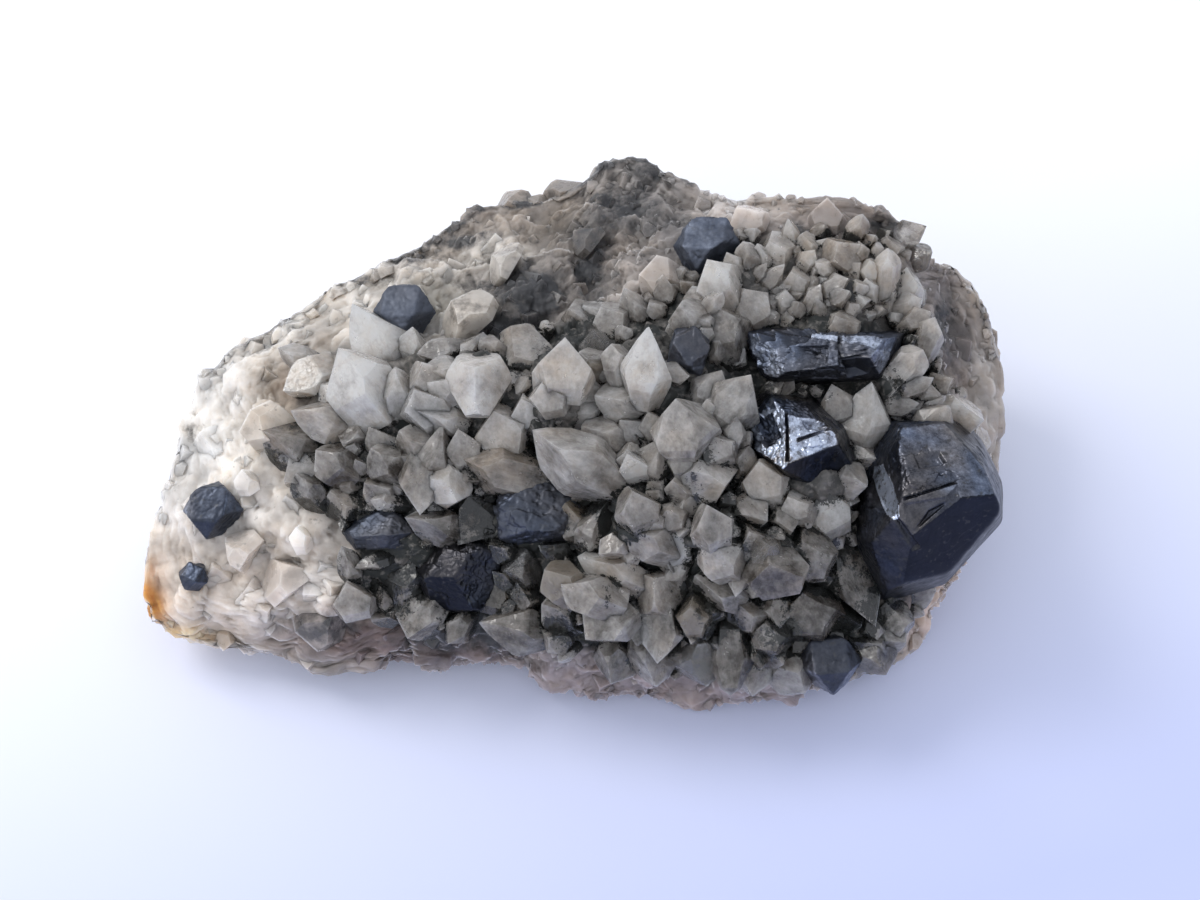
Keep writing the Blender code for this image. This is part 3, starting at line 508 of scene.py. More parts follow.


# %% [markdown]
# ## The druse's own crystals
#
# The points that can be told apart are listed by region: where the root and the tip are, the width and the tip's
# rise above the ground in millimetres, the form, and how light the crystal is. Dark ones are smoky, and light ones
# are milky. The lightest few are painted highlights: they are made near white where a glint sits on a face. The
# ground that they grow from is the rock's surface, so the list needs no heights.

# %% The list of points
DRUSE_POINTS = (
    # the upper edge of the main druse
    ((644, 400), (650, 324), 4.1, 2.6, SPINDLE, 0.9), ((621, 378), (612, 343), 2.4, 1.2, PRISM, 0.5),
    ((562, 388), (566, 336), 4.0, 2.2, PRISM, 0.8), ((594, 368), (590, 360), 2.6, 3.2, PRISM, 0.4),
    ((632, 404), (596, 394), 2.8, 1.6, PRISM, 0.5), ((616, 442), (582, 424), 3.2, 2.2, PRISM, 0.5),
    ((602, 400), (548, 426), 2.6, 1.4, SPINDLE, 0.6), ((618, 488), (531, 432), 4.2, 2.4, SPINDLE, 0.7),
    ((692, 450), (676, 400), 5.0, 3.2, SPINDLE, 0.56), ((726, 416), (752, 374), 4.2, 2.4, PRISM, 0.6),
    ((704, 402), (722, 372), 3.0, 1.4, PRISM, 0.6), ((729, 446), (737, 416), 1.8, 1.8, PRISM, 0.5),
    ((722, 456), (711, 435), 2.6, 2.0, PRISM, 0.5), ((633, 472), (625, 452), 2.2, 2.8, PRISM, 0.8),
    ((770, 496), (760, 464), 3.1, 3.2, PRISM, 0.95), ((656, 430), (648, 412), 2.4, 1.8, PRISM, 0.5),
    # the middle, where most points face the viewer
    ((588, 546), (612, 496), 3.5, 2.0, SPINDLE, 0.6), ((640, 520), (636, 492), 3.0, 3.0, PRISM, 0.5),
    ((582, 532), (566, 504), 2.9, 1.4, PRISM, 0.35), ((681, 494), (672, 480), 2.0, 1.8, PRISM, 0.5),
    ((674, 522), (667, 510), 2.0, 1.8, PRISM, 0.5), ((713, 536), (708, 505), 3.0, 2.6, PRISM, 0.5),
    ((727, 561), (703, 541), 3.8, 2.6, PRISM, 0.6), ((736, 504), (767, 522), 3.0, 2.2, SPINDLE, 0.65),
    # the second point on this line and the first on the next are lightened as painted highlights
    ((668, 547), (630, 532), 3.2, 2.4, PRISM, 0.55), ((682, 558), (673, 535), 2.1, 2.8, PRISM, 1.4),
    ((636, 580), (580, 554), 3.4, 2.2, PRISM, 0.95), ((656, 591), (650, 575), 4.1, 3.6, PRISM, 0.55),
    ((730, 593), (694, 577), 3.5, 2.4, PRISM, 0.6), ((774, 571), (771, 566), 4.4, 3.4, PRISM, 0.5),
    ((752, 616), (729, 596), 3.4, 2.4, PRISM, 0.55),
    ((809, 614), (800, 590), 4.4, 3.0, PRISM, 0.45), ((773, 641), (766, 624), 2.6, 2.2, PRISM, 0.5),
    ((614, 602), (562, 581), 3.2, 1.8, PRISM, 0.6), ((811, 558), (805, 541), 3.9, 3.2, PRISM, 0.6),
    ((802, 512), (787, 494), 2.4, 1.8, PRISM, 0.6), ((829, 522), (822, 491), 3.7, 2.6, PRISM, 0.7),
    ((754, 548), (748, 532), 2.6, 2.6, PRISM, 0.5),
    # the front brow, where points overhang the wall
    ((620, 610), (586, 640), 3.7, 1.4, PRISM, 0.55), ((648, 640), (655, 686), 4.0, 1.2, PRISM, 0.6),
    ((750, 652), (754, 697), 2.8, 1.0, PRISM, 0.7),
    ((746, 660), (727, 680), 2.0, 1.0, PRISM, 0.6), ((752, 660), (775, 677), 2.0, 1.0, PRISM, 0.6),
    ((769, 646), (781, 664), 2.4, 1.4, PRISM, 0.5), ((786, 662), (804, 694), 3.4, 1.0, PRISM, 0.6),
    ((546, 632), (479, 621), 3.5, 1.8, SPINDLE, 0.7),
    ((558, 640), (546, 636), 2.2, 1.6, PRISM, 0.5),
    # the corner right of the front
    ((866, 650), (848, 646), 3.8, 2.4, PRISM, 0.45), ((892, 618), (888, 600), 3.4, 2.0, PRISM, 0.4),
    ((880, 630), (907, 642), 2.6, 1.4, PRISM, 0.45), ((868, 644), (888, 674), 2.8, 1.0, PRISM, 0.35),
    # the trough
    ((402, 601), (410, 546), 3.5, 2.4, PRISM, 0.6), ((384, 604), (370, 571), 2.6, 1.8, PRISM, 0.7),
    # the hollow on the left
    ((481, 388), (477, 372), 4.6, 3.6, PRISM, 1.0), ((431, 414), (418, 388), 3.8, 2.6, PRISM, 0.65),
    ((457, 422), (410, 407), 3.4, 2.2, PRISM, 0.65), ((506, 436), (490, 411), 4.4, 3.0, PRISM, 0.8),
    ((531, 421), (520, 400), 2.8, 2.2, PRISM, 0.75), ((552, 402), (542, 381), 2.8, 2.0, PRISM, 0.6),
    ((467, 460), (458, 430), 2.8, 2.0, PRISM, 0.65), ((489, 473), (486, 448), 2.6, 1.6, PRISM, 0.6),
    ((426, 448), (398, 429), 2.8, 2.0, SPINDLE, 0.55), ((386, 452), (371, 427), 2.6, 1.6, PRISM, 0.5),
    ((382, 414), (333, 352), 4.6, 2.2, PRISM, 0.75), ((399, 410), (396, 366), 2.5, 1.4, PRISM, 0.6),
    ((430, 386), (424, 361), 2.6, 1.6, PRISM, 0.55), ((352, 426), (291, 409), 3.4, 1.6, SPINDLE, 0.65),
    # the second point on this line, at lightness 1.35, is made near white as a painted highlight
    ((424, 466), (418, 514), 3.1, 2.4, PRISM, 0.7), ((440, 474), (457, 499), 3.0, 2.8, PRISM, 1.35),
    ((399, 475), (370, 449), 2.8, 1.6, PRISM, 0.5), ((352, 472), (316, 450), 3.2, 1.6, PRISM, 0.5),
    ((388, 494), (366, 482), 2.8, 1.8, PRISM, 0.55), ((350, 506), (330, 490), 3.0, 1.6, PRISM, 0.6),
    # the right-hand edge
    ((843, 422), (832, 384), 2.9, 2.2, PRISM, 0.6), ((868, 447), (874, 381), 4.0, 2.8, SPINDLE, 0.8),
    ((948, 412), (984, 418), 3.0, 2.0, PRISM, 1.0), ((955, 444), (958, 427), 2.3, 1.8, PRISM, 0.8),
    ((964, 438), (984, 452), 2.8, 1.6, PRISM, 0.75), ((932, 388), (952, 377), 2.6, 1.8, PRISM, 0.5),
    ((908, 330), (932, 312), 2.4, 1.4, PRISM, 0.45),
    # the coarse back of the plateau
    ((752, 316), (744, 290), 3.4, 1.8, PRISM, 0.65),
    ((907, 298), (908, 267), 2.2, 1.8, PRISM, 0.9), ((870, 280), (869, 260), 1.8, 1.8, PRISM, 0.8),
    ((800, 288), (792, 270), 2.2, 1.6, PRISM, 0.7), ((845, 330), (838, 316), 2.6, 1.6, PRISM, 0.55),
    ((780, 256), (770, 240), 2.8, 1.6, PRISM, 0.6), ((842, 258), (838, 240), 3.0, 1.6, PRISM, 0.6),
    ((690, 322), (676, 306), 2.8, 1.8, PRISM, 0.5), ((728, 304), (704, 262), 3.4, 2.4, PRISM, 1.0),
    # this point, at lightness 1.6, is made near white as a painted highlight
    ((640, 478), (627, 454), 2.2, 3.0, PRISM, 1.6),
)
CLEAR_POINTS = (
    ((523, 573), (527, 548), 3.0, 2.2, PRISM, 0.5), ((696, 645), (707, 687), 4.1, 1.2, PRISM, 0.7),
    ((760, 560), (768, 546), 2.0, 3.6, PRISM, 0.6), ((596, 352), (590, 330), 2.2, 2.2, PRISM, 0.6),
)
SMOKY_POINTS = (
    ((495, 604), (494, 577), 2.4, 1.4, PRISM, 0.25), ((577, 592), (545, 570), 3.2, 2.2, PRISM, 0.35),
    ((695, 620), (690, 605), 2.7, 2.4, PRISM, 0.3), ((813, 652), (800, 630), 3.6, 2.4, PRISM, 0.3),
    ((592, 374), (588, 364), 2.8, 3.2, PRISM, 0.4), ((582, 526), (566, 504), 2.6, 1.8, PRISM, 0.35),
)
ROCK_CLEAR_POINTS = (
    ((904, 236), (927, 226), 1.9, 1.4, PRISM, 0.8), ((914, 258), (934, 252), 2.0, 1.6, PRISM, 0.8),
)
ROCK_POINTS = (
    # the two points on the next line are made light as painted highlights
    ((304, 546), (297, 526), 1.5, 1.4, PRISM, 1.35), ((250, 488), (242, 468), 1.7, 0.6, PRISM, 1.15),
    ((262, 426), (292, 452), 3.8, 1.4, PRISM, 1.05), ((312, 632), (340, 606), 3.4, 0.8, PRISM, 0.95),
    ((252, 556), (226, 536), 3.2, -1.2, PRISM, 1.0), ((292, 592), (268, 560), 3.8, -1.1, PRISM, 0.97),
    ((668, 284), (640, 272), 3.0, 1.2, PRISM, 1.5), ((828, 226), (829, 197), 2.6, 0.8, PRISM, 1.1),
    ((752, 226), (738, 206), 3.2, 0.8, PRISM, 1.2), ((474, 324), (450, 300), 4.2, 0.6, PRISM, 1.0),
    ((512, 266), (492, 254), 3.4, -0.4, PRISM, 1.2), ((592, 246), (574, 230), 3.0, -0.4, PRISM, 0.9),
)


def ground_level(x, y):
    """The level of the solid's surface at picture points: the smooth rock and its broken facets."""
    level = smooth_level(x, y)
    return level + rock_roughness(seen(x, y, level))


def height_above_rock(points):
    """Millimetres from the smooth rock towards the viewer: a point's own level less the rock's level there."""
    level = (VIEW_DISTANCE - (points - EYE) @ FORWARD) / MM
    return level - smooth_level(*picture_place(points))


WIDTH_GAIN = 1.36  # the crystals run into each other, so each is wider than what shows of it
ROOT_SINK = 0.06  # of the way from root to tip, by which a root starts farther back
ROOT_LEVEL = 0.4  # millimetres over the ground, inside the crust
STREAK_SQUEEZE = 0.28  # how much of a place's part along the axis is kept
groups, pieces = {}, {}  # the crystals of each group and their piece, by name, for the colours and finishes later


def listed_crystals(table):
    """Roots, tips, widths, forms and lightness of a list, with the rise measured from the ground at the root."""
    roots, tips = (np.array([row[k] for row in table], float) for k in (0, 1))
    width, rise, form, light = np.array([row[2:] for row in table], float).T
    ground = ground_level(*roots.T)
    return (
        seen(*(roots - ROOT_SINK * (tips - roots)).T, ground + ROOT_LEVEL),
        seen(*tips.T, ground + CRUST_THICKNESS + rise),
        WIDTH_GAIN * width * MM,
        form,
        light,
    )


def add_crystals(name, crystals, seed, node):
    """One piece from a group of crystals. Each point keeps its share of its crystal's height, and its own height.

    It also keeps a place of its own for streaks: the way from its crystal's root, with the part along the axis
    squeezed, and moved by a random step for each crystal.
    """
    roots, tips, width, form, _ = crystals
    points, faces, share = crystal_mesh(roots, tips, width, form, seed)
    piece = add_piece(name, points, faces, node)
    per_crystal = len(points) // len(roots)
    axis = np.repeat(crystal_frames(roots, tips)[0], per_crystal, axis=0)
    own = points - np.repeat(roots, per_crystal, axis=0)
    own = own - (1 - STREAK_SQUEEZE) * (own * axis).sum(1)[:, None] * axis
    own = own + np.repeat(np.random.default_rng(seed).uniform(0, 0.2, (len(roots), 3)), per_crystal, axis=0)
    add_places(piece, "own_place", own)
    add_number(piece, "rise", share)
    add_number(piece, "above", height_above_rock(points))
    groups[name], pieces[name] = crystals, piece


add_crystals("quartz_points", listed_crystals(DRUSE_POINTS), 3, "quartz_druse")
add_crystals("clear_quartz_points", listed_crystals(CLEAR_POINTS), 4, "quartz_druse")
add_crystals("smoky_quartz_points", listed_crystals(SMOKY_POINTS), 8, "quartz_druse")
add_crystals("clear_rock_points", listed_crystals(ROCK_CLEAR_POINTS), 9, "host_rock")
add_crystals("rock_points", listed_crystals(ROCK_POINTS), 7, "host_rock")

# %% [markdown]
# ## Crystals that fill the gaps
#
# A druse has no bare ground: each crystal grew until it met its neighbours, and only thin, dusty joints are left.
# So the gaps are filled by the same rule. A grid over the picture holds the room that is left around every place.
# The roomiest place gets a crystal wide enough to meet its neighbours, the room is worked out again, and this goes
# on until only small gaps are left. They lean away from the middle of the dome, as the large ones do.

# %% Room left on the druse, in picture units
ROOM_STEP = 3.0
room_x, room_y = np.meshgrid(np.arange(262.0, 1000.0, ROOM_STEP), np.arange(215.0, 705.0, ROOM_STEP))
RIM_ROOM = 3  # crystals may reach over the crust's rim by this much
LARGEST_REACH, FINE_REACH = 23, 11  # of the crystals in the gaps, and of those where the druse is fine-grained
LEAST_ROOM = 3.0
TAKEN_STRETCH = (0.3, 0.85)  # the stretch from root to tip, in shares, on which a listed crystal takes up room
TAKEN_WIDTH = 0.44  # of the crystal's width, to either side of that stretch
DOME_MIDDLE = np.array((690, 500))
GALENA_KEEP_OFF = (
    # x, y and reach of places that the galena takes up
    (930, 506, 72), (800, 442, 50), (772, 352, 30), (810, 352, 34), (845, 350, 34), (878, 346, 28), (370, 534, 24),
    (402, 534, 26), (462, 573, 40), (522, 516, 30), (556, 516, 28), (829, 662, 24), (707, 246, 27), (688, 352, 21),
)


def capsule_distance(x, y, start, end):
    """How far places lie from a straight stretch: the place less its nearest point on the stretch."""
    way = np.asarray(end, float) - start
    share = np.clip(((x - start[0]) * way[0] + (y - start[1]) * way[1]) / max(way @ way, 1e-9), 0, 1)
    return np.hypot(x - start[0] - share * way[0], y - start[1] - share * way[1])


def room_on_druse():
    """Distance from every place of the grid to the nearest listed crystal, galena crystal or the crust's rim."""
    across, down = room_x - CRUST_MIDDLE[0], room_y - CRUST_MIDDLE[1]
    room = rim_reach(CRUST_RIM, CRUST_MIDDLE, np.arctan2(down, across)) - np.hypot(across, down) + RIM_ROOM
    for start, end, width, *_ in DRUSE_POINTS + CLEAR_POINTS + SMOKY_POINTS:
        low, high = (np.array(start) + share * (np.array(end) - start) for share in TAKEN_STRETCH)
        room = np.minimum(room, capsule_distance(room_x, room_y, low, high) - TAKEN_WIDTH * width * PICTURE_SCALE)
    for x, y, reach in GALENA_KEEP_OFF:
        room = np.minimum(room, np.hypot(room_x - x, room_y - y) - reach)
    return room


UNEVENNESS = 2.5  # how much roomier or narrower a place may seem when the next one is chosen
OUTWARD_LEAN, RANDOM_LEAN = 1.3, 0.75  # in reaches
COVERED_BACK, COVERED_AHEAD, COVERED_WIDTH = 0.4, 0.6, 0.78  # what a crystal takes up: in leans, and in reaches


def fill_gaps(room, seed):
    """Places, leans and reaches: the roomiest place is taken, give or take a little, until only small ones remain.

    A crystal reaches as far as its room allows. It leans outwards from the dome's middle, and somewhat at random.
    """
    dice = np.random.default_rng(seed)
    uneven = dice.uniform(-UNEVENNESS, UNEVENNESS, room.shape)
    fine_back = smooth_step(room_x, 600, 660) * smooth_step(-room_y, -345, -315)
    fine_right = smooth_step(room_x, 865, 885) * smooth_step(-room_y, -440, -400)
    most = LARGEST_REACH - (LARGEST_REACH - FINE_REACH) * np.maximum(fine_back, fine_right)
    taken = []
    while True:
        spot = np.unravel_index(np.argmax(room + uneven * (room > LEAST_ROOM)), room.shape)
        if room[spot] <= LEAST_ROOM:
            return np.array(taken)
        place = np.array([room_x[spot], room_y[spot]])
        reach = min(1.1 * room[spot] + 1.5, dice.uniform(0.55, 1.0) * most[spot])
        outward = place - DOME_MIDDLE
        lean = reach * (OUTWARD_LEAN * outward / (np.hypot(*outward) + 40) + dice.normal(0, RANDOM_LEAN, 2))
        taken.append((*place, *lean, reach))
        ends = place - COVERED_BACK * lean, place + COVERED_AHEAD * lean
        room = np.minimum(room, capsule_distance(room_x, room_y, *ends) - COVERED_WIDTH * reach)


gaps = fill_gaps(room_on_druse(), 5)
print(len(gaps), "crystals fit between the", len(DRUSE_POINTS), "listed ones")

# %% Crystals in the gaps
ROOT_LEAN, TIP_LEAN = -1.1, 1.3  # how far along its lean a crystal starts and ends
GAP_WIDTH_GAIN = 3.0
SPINDLE_SHARE = 0.3


def gap_crystals(gaps, seed):
    """Crystals along their leans, wider than their gaps so that they meet, and higher where they are larger."""
    dice = np.random.default_rng(seed)
    count = len(gaps)
    places, lean, reach = gaps[:, :2], gaps[:, 2:4], gaps[:, 4] / PICTURE_SCALE
    ground = ground_level(*places.T) + CRUST_THICKNESS
    roots = seen(*(places + ROOT_LEAN * lean).T, ground - 1.0)
    tips = seen(*(places + TIP_LEAN * lean).T, ground + reach * dice.uniform(0.4, 0.95, count) + 1.0)
    form = np.where(dice.random(count) < SPINDLE_SHARE, SPINDLE, PRISM)
    return roots, tips, GAP_WIDTH_GAIN * reach * MM, form, dice.uniform(0.34, 0.78, count)


add_crystals("small_quartz_points", gap_crystals(gaps, 6), 5, "quartz_druse")

# %% [markdown]
# ## Blocks of massive quartz
#
# The bare rock is quartz too, but its crystals grew into each other, and only blunt, milky corners stand out. They
# are spread over the whole skin, walls and back as well. A place on the skin is kept if it is not too near one that
# was kept before, and its block stands along the skin's normal, sunk for the most part.

# %% Blunt blocks over the bare rock
PLACES_TRIED, MOST_BLOCKS = 16000, 1600
BLOCK_SPACING = 0.75  # of the two neighbours' reaches together
BLOCK_ROOT, BLOCK_WIDTH = 1.6, 2.2  # in reaches: how deep a block starts, and how wide it is
BLOCK_ROOM = 1.15  # in reaches: what has to fit into the model's box round a block's middle


def block_places(seed):
    """Points of the skin, their normals and block sizes, spaced by the sum of the neighbours' reaches."""
    dice = np.random.default_rng(seed)
    points, normals = (rings[2 : FOOT_RING - 5].reshape(-1, 3) for rings in (skin, outwards))
    order = dice.permutation(len(points))[:PLACES_TRIED]
    points, normals = points[order], normals[order]
    x, y = picture_place(points)
    fine = smooth_step(x, 560, 640) * smooth_step(340 - y, 0, 40)
    edge_on = smooth_step(0.75 - np.abs(normals @ FORWARD), 0, 0.4)
    coarse = smooth_step(-x, -480, -380)
    reach = dice.uniform(0.8, 2.1, len(points)) * (1 + 0.3 * coarse) * (1 - 0.5 * fine) * (1 - 0.6 * edge_on) * MM
    bare = ((crust_share(x, y) < 0.35) & (dice.random(len(x)) > 0.8 * coarse)) | (normals @ FORWARD > -0.05)
    kept = np.zeros((0, 3))
    kept_reach = np.zeros(0)
    rows = []
    for row in np.flatnonzero(bare):
        apart = np.linalg.norm(kept - points[row], axis=1)
        if (apart > BLOCK_SPACING * (kept_reach + reach[row])).all():
            kept = np.vstack([kept, points[row]])
            kept_reach = np.append(kept_reach, reach[row])
            rows.append(row)
        if len(rows) >= MOST_BLOCKS:
            break
    return points[rows], normals[rows], reach[rows]


def block_crystals(seed):
    """Roots under the skin and tips a little above it, leaning at random."""
    dice = np.random.default_rng(seed)
    points, normals, reach = block_places(seed)
    points = points + normals * (rock_roughness(points)[:, None] * MM)
    lean = normals + dice.normal(0, 0.3, normals.shape)
    lean /= np.linalg.norm(lean, axis=1)[:, None]
    roots = points - BLOCK_ROOT * reach[:, None] * normals
    tips = points + lean * (reach * dice.uniform(0.1, 0.45, len(reach)) + 0.1 * MM)[:, None]
    middle, room = (roots + tips) / 2, BLOCK_ROOM * reach[:, None]
    fits = ((middle - room > cad_low) & (middle + room < cad_high) & (tips > cad_low) & (tips < cad_high)).all(1)
    return roots[fits], tips[fits], BLOCK_WIDTH * reach[fits], np.full(fits.sum(), PRISM), np.ones(fits.sum())


add_crystals("massive_quartz_blocks", block_crystals(11), 12, "host_rock")

# %% [markdown]
# ## Galena
#
# A galena crystal is bounded by flat faces, so its surface lies where a ray from the middle meets the nearest of
# them. A high power of the distances in place of the plain nearest one leaves the edges a little rounded. The rays
# run over the six sides of a cube, which spreads the grid evenly. Five crystals have faces that can be told apart,
# and each face is given by three of its points. The others are cubes with their corners cut off. Every face also
# keeps a number for its shine, because neighbouring faces are tarnished differently.

# %% The faces of the five crystals that show them
GALENA_FACES = {
    # shine, pitting, then three points of the face: x, y and level
    "galena_large": (
        (0.30, 0.25, (959, 497, 6.0), (899, 432, 2.2), (990, 472, 3.4)),  # the top, a dull grey-brown
        (0.01, 0.02, (959, 497, 6.0), (1001, 508, 3.6), (912, 586, 0.6)),  # the black front, low on the right
        (0.10, 0.50, (895, 440, 2.2), (893, 517, 4.8), (860, 520, -0.5)),  # the left side
        (0.05, 0.15, (893, 517, 4.8), (922, 545, 4.6), (880, 582, 0.0)),  # the lower left
        (0.18, 0.30, (904, 496, 5.5), (959, 497, 6.1), (915, 540, 4.8)),  # the small one that faces the viewer
        (0.20, 0.50, (899, 424, 1.4), (943, 423, 1.2), (920, 418, -3)),
        (0.07, 0.30, (943, 423, 1.2), (985, 467, 3.2), (972, 434, -3)),
        (0.14, 0.20, (985, 467, 3.2), (1000, 500, 3.6), (1001, 486, -2)),
        (0.03, 0.05, (1001, 496, 3.4), (1001, 522, 3.0), (1003, 508, -4)),
        (0.01, 0.05, (1000, 514, 3.3), (951, 571, 0.9), (979, 546, -3)),
        (0.03, 0.10, (951, 571, 0.9), (905, 586, 0.2), (930, 588, -4)),
        (0.06, 0.50, (858, 542, -0.8), (859, 480, -1.2), (855, 510, -4)),
        (0.10, 0.80, (860, 478, -1.0), (899, 424, 1.2), (872, 440, -3)),
        (0.05, 0.40, (858, 542, -0.8), (880, 580, -0.2), (862, 570, -4)),
        (0.05, 0.40, (900, 460, -5), (960, 460, -5), (930, 560, -5)),
    ),
    "galena_middle": (
        (0.75, 1.20, (788, 418, 4.2), (833, 432, 3.6), (791, 461, 5.0)),  # the bright, pitted face
        (0.90, 1.40, (787, 414, 4.0), (787, 458, 4.9), (752, 440, 1.2)),  # the dark left part
        (0.05, 0.10, (791, 463, 5.0), (838, 444, 3.8), (806, 489, 1.4)),  # the smooth lower right
        (0.16, 1.00, (786, 415, 4.2), (820, 418, 3.6), (786, 394, 1.2)),
        (0.08, 0.20, (838, 440, 3.8), (853, 470, 1.0), (842, 430, 1.2)),
        (0.10, 1.00, (752, 414, 0.6), (771, 395, 1.0), (756, 398, -3)),
        (0.20, 0.80, (771, 395, 1.0), (806, 403, 1.6), (790, 392, -3)),
        (0.10, 0.40, (806, 403, 1.6), (840, 432, 2.2), (832, 410, -3)),
        (0.06, 0.20, (840, 432, 2.2), (855, 466, 1.0), (856, 445, -3)),
        (0.05, 0.20, (853, 482, 0.4), (822, 490, 0.6), (840, 494, -3)),
        (0.05, 0.20, (822, 490, 0.6), (784, 477, 1.6), (798, 490, -3)),
        (0.06, 0.60, (784, 477, 1.6), (752, 452, 0.2), (764, 470, -3)),
        (0.10, 1.00, (750, 450, 0.2), (749, 414, 0.4), (746, 434, -3)),
        (0.05, 0.20, (770, 420, -4), (830, 420, -4), (800, 480, -4)),
    ),
    "galena_bar": (
        (0.26, 1.80, (760, 334, 0.0), (838, 336, 1.0), (792, 374, 1.4)),  # the rough left half
        (0.50, 1.20, (751, 334, -1.0), (765, 374, -0.4), (774, 345, 0.6)),
        (0.04, 0.80, (772, 376, 0.8), (846, 366, 1.6), (806, 388, -1.5)),
        (0.80, 1.20, (838, 344, 1.4), (892, 328, 0.2), (868, 356, 2.4)),  # the lit face on the right
        (0.03, 0.20, (845, 362, 2.0), (872, 354, 2.3), (858, 379, -0.5)),
        (0.55, 0.40, (873, 350, 2.2), (886, 342, 1.4), (880, 374, -0.4)),
        (0.30, 0.60, (896, 326, 0.2), (908, 338, -1.6), (900, 366, -1.4)),
        (0.14, 1.60, (747, 325, -2), (800, 330, -0.6), (770, 323, -5)),
        (0.10, 1.40, (800, 329, -0.6), (887, 322, -0.4), (850, 318, -5)),
        (0.08, 0.50, (887, 322, -0.4), (901, 334, -1.5), (898, 322, -5)),
        (0.04, 0.30, (901, 334, -1.5), (892, 366, -2), (902, 352, -5)),
        (0.04, 0.30, (892, 366, -2), (880, 381, -1.5), (892, 380, -5)),
        (0.04, 0.30, (882, 381, -1.5), (850, 381, -1.2), (866, 387, -5)),
        (0.05, 1.00, (850, 382, -1.2), (790, 388, -1.6), (820, 390, -5)),
        (0.06, 1.40, (790, 388, -1.6), (764, 379, -1.6), (776, 388, -5)),
        (0.12, 1.40, (764, 379, -1.6), (749, 350, -2), (754, 368, -5)),
        (0.16, 1.40, (749, 350, -2), (746, 325, -2), (745, 338, -5)),
        (0.05, 0.50, (770, 340, -5), (880, 340, -5), (820, 380, -5)),
    ),
    "galena_trough_front": (
        (0.07, 0.60, (446, 549, -1.4), (470, 552, -0.6), (428, 576, -1.2)),  # the bluish face that catches light
        (0.0, 0.30, (428, 577, -1.2), (453, 578, -0.5), (436, 606, -3.6)),
        (0.06, 0.80, (471, 553, -0.6), (454, 578, -0.5), (496, 588, -3.4)),
        (0.10, 1.40, (446, 547, -1.5), (470, 551, -0.7), (462, 534, -3.4)),
        (0.08, 0.60, (427, 576, -1.3), (444, 549, -1.5), (418, 556, -4)),
        (0.04, 0.40, (418, 580, -3.5), (431, 609, -4), (422, 602, -6)),
        (0.04, 0.40, (432, 612, -4), (482, 612, -4), (455, 614, -7)),
        (0.06, 0.80, (484, 610, -4), (504, 582, -4), (502, 600, -7)),
        (0.06, 0.80, (505, 580, -4), (500, 550, -4), (508, 566, -7)),
        (0.08, 1.20, (498, 546, -4), (470, 534, -4), (488, 534, -7)),
        (0.05, 0.40, (440, 560, -6.6), (490, 560, -6.6), (460, 600, -6.6)),
    ),
    "galena_trough_left": (
        (0.18, 0.50, (352, 530, -2.6), (392, 513, -2.2), (386, 535, -1.0)),  # bluish
        (0.20, 0.50, (395, 513, -2.2), (388, 535, -1.0), (416, 528, -2.6)),  # brownish
        (0.10, 0.60, (353, 540, -2.4), (386, 536, -1.1), (370, 551, -3.0)),
        (0.06, 0.60, (388, 537, -1.1), (418, 534, -2.8), (400, 547, -3.0)),
        (0.12, 0.60, (370, 511, -3.6), (394, 509, -3.4), (382, 508, -7)),
        (0.14, 0.60, (346, 530, -3.5), (372, 511, -3.5), (352, 518, -6)),
        (0.06, 0.60, (346, 532, -3.5), (354, 547, -4), (346, 542, -6)),
        (0.05, 0.60, (356, 550, -4), (400, 550, -4), (380, 553, -7)),
        (0.05, 0.60, (402, 549, -4), (421, 536, -3.6), (414, 546, -7)),
        (0.08, 0.60, (398, 511, -3.4), (421, 530, -3.2), (414, 515, -6)),
        (0.05, 0.40, (360, 530, -6.4), (400, 530, -6.4), (380, 545, -6.4)),
    ),
}
GALENA_CUTS = {
    # shine, pitting, the outline of a place that is stepped down, and its depth in millimetres
    "galena_large": (
        (1.20, 0.15, ((866, 468), (882, 464), (892, 484), (898, 504), (899, 524), (886, 514), (873, 493)), 0.20),
        (0.20, 0.10, ((862, 478), (870, 474), (876, 494), (886, 514), (878, 512), (866, 498)), 0.45),
        (0.02, 0.10, ((902, 497), (957, 479), (959, 483), (904, 501)), 0.55),
        (0.20, 0.90, ((898, 446), (926, 443), (962, 478), (903, 496)), 0.12),
        (0.15, 0.40, ((912, 452), (940, 450), (948, 462), (918, 468)), 0.50),
        (0.12, 0.15, ((903, 503), (946, 496), (958, 484), (960, 499), (912, 536), (906, 524)), 0.16),
        (0.10, 0.20, ((928, 510), (948, 500), (946, 506), (920, 528), (914, 530)), 0.34),
        (0.05, 0.30, ((894, 520), (899, 518), (921, 548), (912, 552)), 0.35),
    ),
    "galena_middle": (
        (0.05, 0.50, ((784, 410), (788, 410), (790, 462), (785, 462)), 0.55),
        (0.30, 0.60, ((796, 438), (832, 426), (833, 429), (797, 443)), 0.40),
        (0.50, 0.60, ((800, 418), (826, 422), (828, 434), (806, 428)), 0.30),
        (0.60, 0.60, ((762, 398), (772, 396), (776, 408), (766, 409)), 0.30),
        (0.08, 1.60, ((752, 418), (770, 410), (780, 436), (764, 450)), 0.60),
    ),
    "galena_bar": (
        (0.02, 0.20, ((843, 358), (868, 352), (869, 374), (848, 379)), 1.10),
        (0.06, 0.80, ((838, 334), (843, 334), (846, 366), (840, 368)), 0.60),
        (0.05, 1.60, ((776, 328), (812, 324), (808, 342), (784, 348)), 1.00),
        (0.10, 1.60, ((752, 322), (772, 322), (776, 340), (762, 344)), 1.30),
        (0.18, 1.80, ((796, 346), (830, 344), (828, 366), (800, 370)), 0.55),
    ),
}
